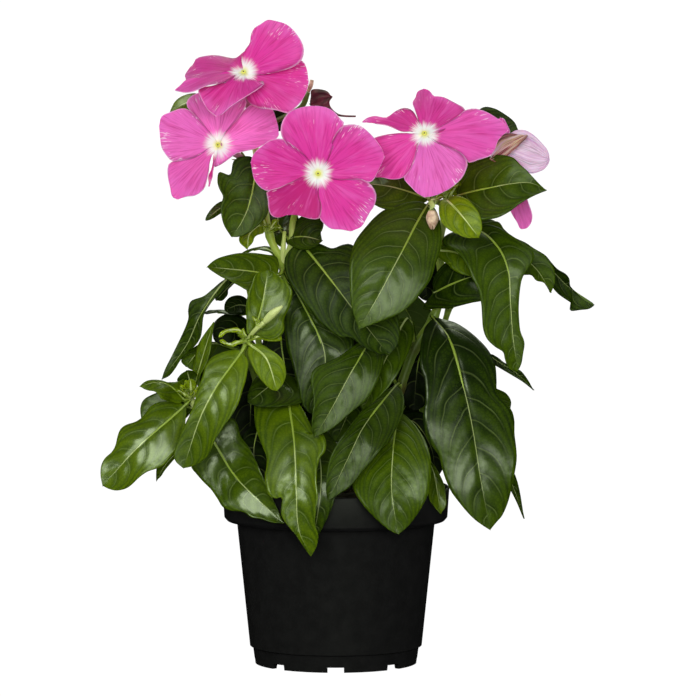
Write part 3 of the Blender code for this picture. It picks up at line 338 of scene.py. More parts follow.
def bentLine(p0, p1, p2, p3, t):                        # Catmull-Rom, from p1 at 0 to p2 at 1
    return 0.5 * (2 * p1 + (p2 - p0) * t + (2 * p0 - 5 * p1 + 4 * p2 - p3) * t * t
                  + (3 * p1 - p0 - 3 * p2 + p3) * t ** 3)


def smoothPath(points, perSpan):
    ends = [2 * points[0] - points[1]] + points + [2 * points[-1] - points[-2]]
    curve = [bentLine(*ends[start:start + 4], step / perSpan)
             for start in range(len(points) - 1) for step in range(perSpan)]
    return curve + [points[-1]]


class Line:                                             # a line that is read by the share of its length
    def __init__(self, points):
        self.points = points
        self.marks = [0.0]
        for a, b in zip(points, points[1:]):
            self.marks.append(self.marks[-1] + (b - a).length)

    def at(self, share):
        reach = max(0.0, min(1.0, share)) * self.marks[-1]
        for i in range(1, len(self.marks)):
            if reach <= self.marks[i] or i == len(self.marks) - 1:
                span = self.marks[i] - self.marks[i - 1]
                t = (reach - self.marks[i - 1]) / span if span else 0.0
                return self.points[i - 1].lerp(self.points[i], t)

    def along(self, share):
        return (self.at(share + 0.02) - self.at(share - 0.02)).normalized()


def halfWidth(stations, angle):                         # angle runs from 0 at the base to pi at the tip
    knots = (-stations[0], 0.0) + tuple(stations) + (0.0, -stations[-1])
    place = angle / (pi / 6)
    i = min(int(place), 5)
    return bentLine(*knots[i:i + 4], place - i)


def oval(width):
    return tuple(width / 2 * share for share in (0.42, 0.80, 1.00, 0.84, 0.42))


def spoon(width):
    return tuple(width / 2 * share for share in (0.30, 0.66, 0.96, 0.98, 0.60))


def lance(width):
    return tuple(width / 2 * share for share in (0.45, 0.85, 1.00, 0.70, 0.28))


def onFace(spot, middle, normal, reach):                # where the sight line through a spot meets a blade's face
    ray = spot - eye
    facing = ray.dot(normal)
    back = (eye + ray * ((middle - eye).dot(normal) / facing)).y if abs(facing) > 0.001 else middle.y
    back = max(middle.y - reach, min(middle.y + reach, back))
    return eye + ray * ((back - eye.y) / ray.y)


def onPlane(point):                                     # the spot where the eye sees a point on the plane y = 0
    return eye + (point - eye) * (eye.y / (eye.y - point.y))


marks = ("across", "along", "run", "fromRib", "spacing", "tone", "gloss", "reach", "turn", "seed")


def freshMesh():
    bm = bmesh.new()
    for name in marks:
        bm.verts.layers.float.new(name)
    return bm


# what a face adds to the bend of its blade, in mm
leafShape = {"pillow": 0.34, "furrow": 0.75, "furrowWidth": 1.3, "ripple": 0.45, "ripples": 9, "fullWidth": 12}
petalShape = {"tilt": 0.2, "furrow": 0.4, "furrowWidth": 1.6, "ripple": 0.5, "ripples": 6}
fadedShape = {"fold": 0.7, "folds": 11, "ripple": 0.5, "ripples": 7}


def leafRelief(spec, across, share, angle, width):
    out = abs(across)
    side = 0.5 if across > 0 else 0.0
    rise = leafLook["veinRise"]
    phase = (share * spec["length"] - (rise[0] + rise[1] * out ** 3) * out * width) / spec["spacing"] + side
    pillow = 0.5 - 0.5 * cos(2 * pi * phase)
    size = min(1.0, width / leafShape["fullWidth"])
    lift = leafShape["pillow"] * size * (pillow - 0.5) * (1 - out ** 3) * min(1.0, out * 5) * sin(angle)
    lift -= leafShape["furrow"] * size * exp(-(out * width / leafShape["furrowWidth"]) ** 2) * (1 - 0.6 * share)
    swing = sin(leafShape["ripples"] * angle + 5 * spec["seed"] + side * 4)
    return lift + leafShape["ripple"] * size * spec["wave"] * sin(angle) * out ** 4 * swing


def petalRelief(spec, across, share, angle, width):
    out = abs(across)
    lift = spec["over"] * min(1.0, 4 * share) + petalShape["tilt"] * across * sin(angle)
    lift -= petalShape["furrow"] * exp(-(out * width / petalShape["furrowWidth"]) ** 2) * (1 - share)
    swing = sin(petalShape["ripples"] * angle + 5 * spec["seed"] + (2 if across < 0 else 0))
    return lift + petalShape["ripple"] * sin(angle) * out ** 3 * swing


def foldRelief(spec, across, share, angle, width):      # lengthwise folds of a drying petal
    out, seed = abs(across), spec["seed"]
    fold = fadedShape["fold"] * sin(angle) * sin(fadedShape["folds"] * across + 6 * seed)
    return fold + fadedShape["ripple"] * sin(angle) * out ** 2 * sin(fadedShape["ripples"] * angle + 9 * seed)


bladeGrain = {
    "perSpan": 24, "tracePerSpan": 12, "veinGap": 8.6, "veins": (4, 9),
    "edgeDepth": 12.0,                                  # how far a traced edge may leave its rib, in mm
    "stalk": 0.9, "stalkFold": 0.8, "stalkSink": 0.5, "narrowest": 0.2,
}


def addBlade(bm, spec, points, rows, columns, stalkRows, relief):
    curve = smoothPath(points, bladeGrain["perSpan"])
    spans = bladeGrain["perSpan"] if stalkRows else 0   # the first span of a leaf's path is its stalk
    stalkLine = Line(curve[:spans + 1])
    rib = Line(curve[spans:])
    fewest, most = bladeGrain["veins"]
    spec["length"] = rib.marks[-1] / mm
    spec["spacing"] = spec["length"] / max(fewest, min(most, round(spec["length"] / bladeGrain["veinGap"])))
    face, tipFace = Vector(spec["face"]), Vector(spec["tipFace"])
    edges = {}
    for side in ("leftEdge", "rightEdge"):
        if side in spec:
            spots = [onPlane(rib.at(0))] + [seen(fromPhoto(*pixel)) for pixel in spec[side]] + [onPlane(rib.at(1))]
            edges[side] = Line(smoothPath(spots, bladeGrain["tracePerSpan"]))
    layers = {name: bm.verts.layers.float[name] for name in marks}
    ahead = rib.along(0.3)
    aside = ahead.cross(face).normalized()
    stalk = bladeGrain["stalk"]
    gloss = spec.get("gloss", max(0.0, min(0.5, 2 * spec["tone"] - 0.24)))
    grid = bmesh.ops.create_grid(bm, x_segments=columns, y_segments=rows, size=1.0)
    for vert in grid["verts"]:
        across = vert.co.x
        row = (vert.co.y + 1) / 2 * rows
        if row < stalkRows - 0.001:
            share = row / stalkRows - 1
            middle = stalkLine.at(row / stalkRows)
            tangent = stalkLine.along(row / stalkRows)
            normal = (face - face.dot(tangent) * tangent).normalized()
            width = stalk
            fold = bladeGrain["stalkFold"] * across * across - bladeGrain["stalkSink"]
            vert.co = middle + (tangent.cross(normal) * across * width + normal * fold) * mm
        else:
            angle = pi * (row - stalkRows) / (rows - stalkRows)
            share = (1 - cos(angle)) / 2
            middle = rib.at(share)
            tangent = rib.along(share)
            at = face.lerp(tipFace, share)
            normal = (at - at.dot(tangent) * tangent).normalized()
            side = "leftEdge" if across < 0 else "rightEdge"
            sideways = tangent.cross(normal) * (-1 if across < 0 else 1)
            if side in edges:
                edge = onFace(edges[side].at(share), middle, normal, bladeGrain["edgeDepth"] * mm) - middle
            else:
                edge = sideways * halfWidth(spec["left"] if across < 0 else spec["right"], angle) * mm
            width = max(edge.length / mm, stalk * (1 - share) ** 4, bladeGrain["narrowest"])
            if edge.length < 0.999 * width * mm:
                edge = sideways * width * mm
            wave = spec["wave"] * sin(angle) * across ** 2 * sin(3 * angle + (2 if across < 0 else 0))
            lift = spec["cup"] * width * across ** 2 + wave + relief(spec, across, share, angle, width)
            vert.co = middle + edge * abs(across) + normal * lift * mm
        reach = vert.co - points[0]
        # a leaf's tone falls towards its foot, painted shade where leaves above shade it; a value below 0 instead
        # makes the foot paler, its own young colour
        tone = spec["tone"] - spec.get("fade", 0.0) * (1 - max(share, 0.0)) ** 1.5
        values = (across, share, share * spec["length"], across * width, spec["spacing"], tone, gloss,
                  reach.length / mm, atan2(reach.dot(aside), reach.dot(ahead)), spec["seed"])
        for name, value in zip(marks, values):
            vert[layers[name]] = value


stemGrain = {
    "perSpan": 8, "sides": 16, "tones": (0.4, 0.72),
    "swell": 0.28, "swellReach": 2.2,                   # swollen where a leaf leaves it, by a share and in mm
    "darken": 0.16, "darkReach": 3.0,
}


def addTube(bm, points, startRadius, endRadius, perSpan=6, sides=12, bulge=0.0, straight=0, joints=(),
            tones=(0.5, 0.5)):
    line = Line(points[:straight] + smoothPath(points[straight:], perSpan))
    steps = perSpan * (len(points) - 1)
    rod = bmesh.ops.create_circle(bm, cap_ends=True, segments=sides, radius=1)["verts"]
    ring = list({edge for vert in rod for edge in vert.link_edges})
    for step in range(steps):                           # a straight rod first, bent along its line below
        grown = bmesh.ops.extrude_edge_only(bm, edges=ring)["geom"]
        fresh = [item for item in grown if isinstance(item, bmesh.types.BMVert)]
        ring = [item for item in grown if isinstance(item, bmesh.types.BMEdge)
                and all(vert in fresh for vert in item.verts)]
        bmesh.ops.translate(bm, verts=fresh, vec=(0, 0, 1))
        rod += fresh
    bmesh.ops.edgeloop_fill(bm, edges=ring)
    whole = points[-1] - points[0]
    level = min(Matrix.Identity(3), key=lambda axis: abs(axis.dot(whole)))
    tone = bm.verts.layers.float["tone"]
    for vert in rod:
        share = vert.co.z / steps
        centre = line.at(share)
        tangent = line.along(share)
        sideways = tangent.cross(level).normalized()
        near = min([(centre - joint).length / mm for joint in joints], default=99.0)
        radius = startRadius + (endRadius - startRadius) * share + bulge * sin(pi * share)
        radius *= 1 + stemGrain["swell"] * exp(-(near / stemGrain["swellReach"]) ** 2)
        darker = stemGrain["darken"] * exp(-(near / stemGrain["darkReach"]) ** 2)
        vert[tone] = tones[0] + (tones[1] - tones[0]) * share - darker
        vert.co = centre + (sideways * vert.co.x + tangent.cross(sideways) * vert.co.y) * radius * mm


def placed(name, data):
    item = bpy.data.objects.new(name, data)
    bpy.context.scene.collection.objects.link(item)
    return item


def keep(bm, node, part, finishes, thickness=None):
    if not thickness:
        bmesh.ops.recalc_face_normals(bm, faces=bm.faces)
    for face in bm.faces:
        face.smooth = True
    mesh = bpy.data.meshes.new(node + part)
    bm.to_mesh(mesh)
    bm.free()
    piece = placed(node + part, mesh)
    for finish in finishes:
        mesh.materials.append(finish)
    if thickness:
        shell = piece.modifiers.new("thickness", "SOLIDIFY")
        shell.thickness = thickness * mm
        shell.offset = -1.0
        shell.material_offset = len(finishes) - 1
    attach(piece, "root")
    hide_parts(node)


# a leaf's edges are half widths in millimetres, or traced on the photo in its pixels, from the blade's foot to its
# tip; a traced edge counts as 15 mm wide, for the fineness of its grid
# a tone near 0 gives a near-black leaf: painted shade for leaves deep inside the bush
def leaf(path, face, both=(15,), left=None, right=None, tipFace=None, cup=0.10, wave=0.7, tone=0.4, **traced):
    return dict(path=path, left=left or both, right=right or both, face=face, tipFace=tipFace or face, cup=cup,
                wave=wave, tone=tone, **traced)


def branch(path, radius, tipRadius, tones=(0.5, 0.5), bulge=0.0):
    return dict(path=path, radius=radius, tipRadius=tipRadius, tones=tones, bulge=bulge)


leafGrain = {
    "wide": 14, "middle": 9,                            # half widths that get the finer grids, in mm
    "rows": (84, 52, 32), "columns": (22, 16, 10), "stalkRows": 4, "thickness": 0.45,
    "stalkRadius": 0.9, "ribRadius": 0.3, "ribReach": 0.62, "ribSides": 8,
    "stalkSink": 0.5, "ribSink": 0.75,
}


def addPetiole(bm, spec, points):                       # the stalk, and the rib that runs on under the blade
    perSpan = bladeGrain["perSpan"]
    curve = smoothPath(points, perSpan)
    stalkLine, rib = Line(curve[:perSpan + 1]), Line(curve[perSpan:])
    face, tipFace = Vector(spec["face"]), Vector(spec["tipFace"])
    spots = []
    for line, shares, sink in ((stalkLine, (0.0, 0.5), leafGrain["stalkSink"]),
                               (rib, (0.0, 0.2, 0.4, leafGrain["ribReach"]), leafGrain["ribSink"])):
        for share in shares:
            tangent = line.along(share)
            at = face.lerp(tipFace, share if line is rib else 0)
            normal = (at - face.dot(tangent) * tangent).normalized()
            spots.append(line.at(share) - normal * sink * mm)
    addTube(bm, spots, leafGrain["stalkRadius"], leafGrain["ribRadius"], perSpan=4, sides=leafGrain["ribSides"],
            tones=(0.55 + 0.3 * spec["tone"], 0.75))


tuft = {"stray": (0, 0.6), "rise": (0.1, 1.1), "size": (0.6, 1.0), "width": 0.32, "tone": (0.82, 1.0), "cup": 0.2}


def tuftLeaves(place, count, length, shuffle):          # leaflets at a growing tip
    leaflets = []
    for number in range(count):
        turn = 2 * pi * (number + shuffle.uniform(*tuft["stray"])) / count
        rise, size = shuffle.uniform(*tuft["rise"]), length * shuffle.uniform(*tuft["size"])
        way = Vector((cos(turn), -0.55 + 0.5 * sin(turn), rise)).normalized() * size
        start = Vector(place)
        crest = start + way * 0.7 + Vector((0, 0, 0.1 * size))
        leaflets.append(leaf([place, tuple(start + way * 0.3), tuple(crest), tuple(start + way)],
                             both=oval(size * tuft["width"]), face=(0.3 * cos(turn), -0.7, 0.7),
                             tone=shuffle.uniform(*tuft["tone"]), cup=tuft["cup"]))
    return leaflets


def makeStem(stem):
    node, joints = stem["node"], stem["joints"]
    shuffle = random.Random(node)

    def spots(path):                                    # a path may name a joint in place of a point
        return [seen(joints.get(point, point)) for point in path]

    for place, count, length in stem.get("tufts", []):
        stem["leaves"] += tuftLeaves(joints.get(place, place), count, length, shuffle)
    blades, rods = freshMesh(), freshMesh()
    starts = spots(spec["path"][0] for spec in stem["leaves"])
    addTube(rods, spots(joints), stem["radius"], stem["tipRadius"], perSpan=stemGrain["perSpan"],
            sides=stemGrain["sides"], straight=1, joints=starts, tones=stem.get("tones", stemGrain["tones"]))
    for twig in stem.get("branches", []):
        addTube(rods, spots(twig["path"]), twig["radius"], twig["tipRadius"], bulge=twig["bulge"],
                tones=twig["tones"])
    for spec in stem["leaves"]:
        spec["seed"] = shuffle.random()
        points = spots(spec["path"])
        widest = max(spec["left"] + spec["right"])
        grade = 0 if widest > leafGrain["wide"] else 1 if widest > leafGrain["middle"] else 2
        addBlade(blades, spec, points, leafGrain["rows"][grade], leafGrain["columns"][grade],
                 leafGrain["stalkRows"], leafRelief)
        addPetiole(rods, spec, points)
    keep(blades, node, "_leaves", [leafUpper, leafUnder], leafGrain["thickness"])
    keep(rods, node, "_stalks", [stemGreen])
    print("made", node, "with", len(stem["leaves"]), "leaves")


# each stem runs through its joints, from its foot to its tip, and bears its leaves there
leftStem = {
    "node": "leafy_stem_left", "radius": 2.3, "tipRadius": 1.5, "tones": (0.2, 1.0),
    "joints": {
        "foot": (-12, 3, 46), "collar": (-13, 2, 84), "low": (-17, -1, 114), "middle": (-20, -2, 137),
        "upper": (-23, 0, 162), "fork": (-24.4, -2, 184), "arm": (-30.5, -3, 198), "crown": (-35, 0, 226),
        "top": (-38, 4, 244),
    },
    "tufts": [((-31.5, -4.5, 200), 8, 8)],
    "branches": [
        # right arm of the fork, to the middle bloom
        branch(["fork", (-20.5, -5, 194), (-20, -6, 203), (-18.5, -8.5, 208.8), (-17, -12.8, 211.4)], 1.6, 1.5,
            tones=(0.95, 0.7)),
        branch(["fork", (-24.3, -4, 192), (-23.6, -4, 200)], 1.7, 0.8, tones=(1.0, 0.8)),
        branch(["top", (-38.3, 3, 249.2)], 1.4, 1.5),
        branch(["crown", (-39, 8.5, 231), (-42, 4.5, 233)], 1.2, 1.5),
        branch(["top", (-27, 11, 251), (-16, 10, 257), (-13, 8, 264)], 1.0, 1.3),
    ],
    "leaves": [
        leaf(["middle", (-23, -11, 131), (-19.5, -39.5, 104), (-18.4, -57.5, 80), (-17.2, -62, 62),
                (-11.4, -61, 49.4)],
            leftEdge=[(292, 390), (298, 402), (305, 414), (311, 427), (316, 437), (322, 436), (326, 443), (326, 453),
                (320, 461), (317.5, 472), (317, 486), (318.5, 499), (316.5, 511), (315, 524), (318, 537), (316, 549)],
            rightEdge=[(276, 388), (264, 396), (256, 408), (255.5, 418), (256, 428), (259, 439), (262.5, 448),
                (266, 457), (266.5, 468), (265, 478), (266, 488), (269, 497), (275, 500.5), (282, 499), (281.5, 507),
                (281, 516), (287, 526), (296, 536), (304, 548)],
            face=(-0.18, -0.83, 0.52), tipFace=(-0.12, -0.96, 0.28), cup=0.12, wave=1.2, tone=0.6, gloss=1.3),
        leaf(["low", (-14, -10, 112), (-8, -35, 98), (-7, -54, 80), (-11, -55.2, 54)], left=(5, 9, 9.5, 6, 2),
            right=(3, 4.5, 4.5, 3, 1.5), face=frontUp, tipFace=front, tone=0.36),
        # a near-black leaf behind: painted shade filling the dark gap between the leaves in front
        leaf(["low", (-16.5, -5, 117), (-14.5, -8, 123), (-12, -10, 131)], both=oval(13), face=(0, -0.95, 0.3),
            tone=0.05),
        leaf(["middle", (-22, -9, 135), (-30, -24, 129), fromPhoto(248, 403.5, -31)],
            leftEdge=[(301, 382), (310, 394), (313, 403.5), (301, 406), (286, 408.3), (274, 408.8), (262, 408),
                (254, 406)],
            rightEdge=[(278, 370), (266, 372), (257, 377), (251, 386), (248, 395)],
            face=(-0.1, -0.85, 0.5), tipFace=front, tone=0.36, gloss=0.7),
        leaf(["fork", (-20.5, -9, 176), (-12, -18, 160), (-5, -24, 142), (-8, -31, 114)],
            leftEdge=[(303, 297), (318, 316), (334, 327), (351, 335), (353, 348), (343, 360), (335, 373), (331, 392),
                (325, 408)],
            rightEdge=[(289, 296), (284, 309), (282.5, 320), (285, 336), (287.5, 351), (292, 364), (295, 376),
                (298, 388), (301, 401), (307, 412)],
            face=(-0.15, -0.9, 0.4), tipFace=front, tone=0.32, gloss=0.5),
        leaf(["fork", (-26.5, -9, 180), (-39, -15, 181.8), (-59.4, -18, 183.5)],
            leftEdge=[(272, 284), (262, 290), (250, 293), (240, 288), (231, 283.5), (222, 278.5), (214, 272.5)],
            rightEdge=[(276, 260), (266, 256.5), (254, 253.5), (242, 254), (231, 255.5), (221, 258.5), (213, 262.5)],
            face=(-0.1, -0.75, 0.65), tone=0.52, gloss=0.12),
        leaf(["fork", (-29, 0, 190.5), (-35.5, 3, 192.5), (-44, 4, 189)], both=lance(5), face=(0, -0.3, 1), tone=0.5),
        leaf([(-20.5, -5, 194), (-16.5, -9, 195), (-3, -24, 178.5), (11, -33, 160), fromPhoto(389, 355.5, -38)],
            leftEdge=[(308, 243), (320, 244.5), (332, 249), (343, 245.5), (353, 246.5), (372, 262), (388, 288),
                (398, 318), (399, 342)],
            rightEdge=[(290, 252), (285, 262), (286, 274), (291, 285), (299, 297), (309, 310), (319, 322.5),
                (329, 331), (340, 338), (350, 338), (358, 343.5), (366, 349), (377, 353.7)],
            face=(-0.1, -0.85, 0.5), tipFace=(0, -0.95, 0.3), cup=0.08, tone=0.32, gloss=0.04),
        leaf(["crown", (-36, -9, 232), (-39, -16, 216), (-42.5, -21, 206), fromPhoto(232, 237.5, -24)],
            leftEdge=[(264, 168), (269, 182), (269, 196), (269, 209), (266, 219), (258, 227), (248, 234), (239, 237)],
            rightEdge=[(250, 158), (240, 159), (234, 164), (230.5, 176), (220, 174), (218, 183), (220, 191),
                (223.5, 198), (221, 207), (222, 217), (225, 227)],
            face=(-0.1, -0.95, 0.2), cup=0.15, tone=0.46, fade=0.2, gloss=0.1),
        leaf(["crown", (-42, -4, 215), (-52, -7, 211.5), (-60, -9, 205)], both=lance(7), face=(0.2, -0.6, 0.8),
            tone=0.35),
        leaf(["arm", (-34, -6, 203), fromPhoto(250, 234, -9), fromPhoto(247.5, 249.5, -12)],
            leftEdge=[(264, 233), (258, 235), (254, 238), (252, 243)],
            rightEdge=[(262, 222), (254, 227), (246, 231), (240, 236), (240, 243)],
            face=(0.3, -0.8, 0.4), tone=0.8),
        leaf([(-20.5, -5, 194), fromPhoto(294, 238, -8), fromPhoto(306, 237, -13), fromPhoto(322, 241, -18)],
            leftEdge=[(290, 232), (296, 222), (304, 217), (314, 216), (321, 218), (324, 226), (321, 233)],
            rightEdge=[(288, 243), (295, 248), (306, 250), (316, 247)],
            face=(0, -0.9, 0.35), tone=0.35),
        leaf([(-20.5, -5, 194), (-23, 0, 198), fromPhoto(279, 228, 3), fromPhoto(277, 205, 4)],
            leftEdge=[(281, 247), (273, 240), (267, 230), (264, 218), (267, 208)],
            rightEdge=[(290, 246), (296, 234), (299, 222), (294, 211)],
            face=(0, -1, 0), tone=0.38),
        leaf(["top", (-41, 4, 246), (-57, 8, 254), fromPhoto(190, 103, 8), fromPhoto(170, 113.5, 8)],
            leftEdge=[(208, 122), (196, 118), (184, 114.5), (176, 114)],
            rightEdge=[(212, 100), (203, 96), (194, 94), (184, 97), (176, 103)],
            face=(-0.1, -0.8, 0.6), tone=0.62, gloss=0.5),
        leaf(["top", (-35, 5, 247), (-28, 12, 252), (-22, 14, 250)], both=oval(14), face=(0, -0.9, 0.4), tone=0.2),
        leaf(["upper", (-18, 6, 165), (-9, 14, 166), (-3, 18, 158), (0, 19, 145)], both=oval(21),
            face=(0.1, 0.3, 0.95), tipFace=(0.5, 0.5, 0.7), tone=0.3),
        leaf(["low", (-12, 4, 118), (2, 12, 119), (12, 16, 108), (16, 17, 92)], both=oval(22), face=(0, -0.5, 0.85),
            tipFace=front, tone=0.3),
        # near-black tone: painted shade for a leaf deep among the others
        leaf(["upper", (-25, -6, 158), (-25, -11, 146), (-20, -13, 118)], both=oval(22), face=(-0.1, -1, 0.2),
            tone=0.05),
    ],
}
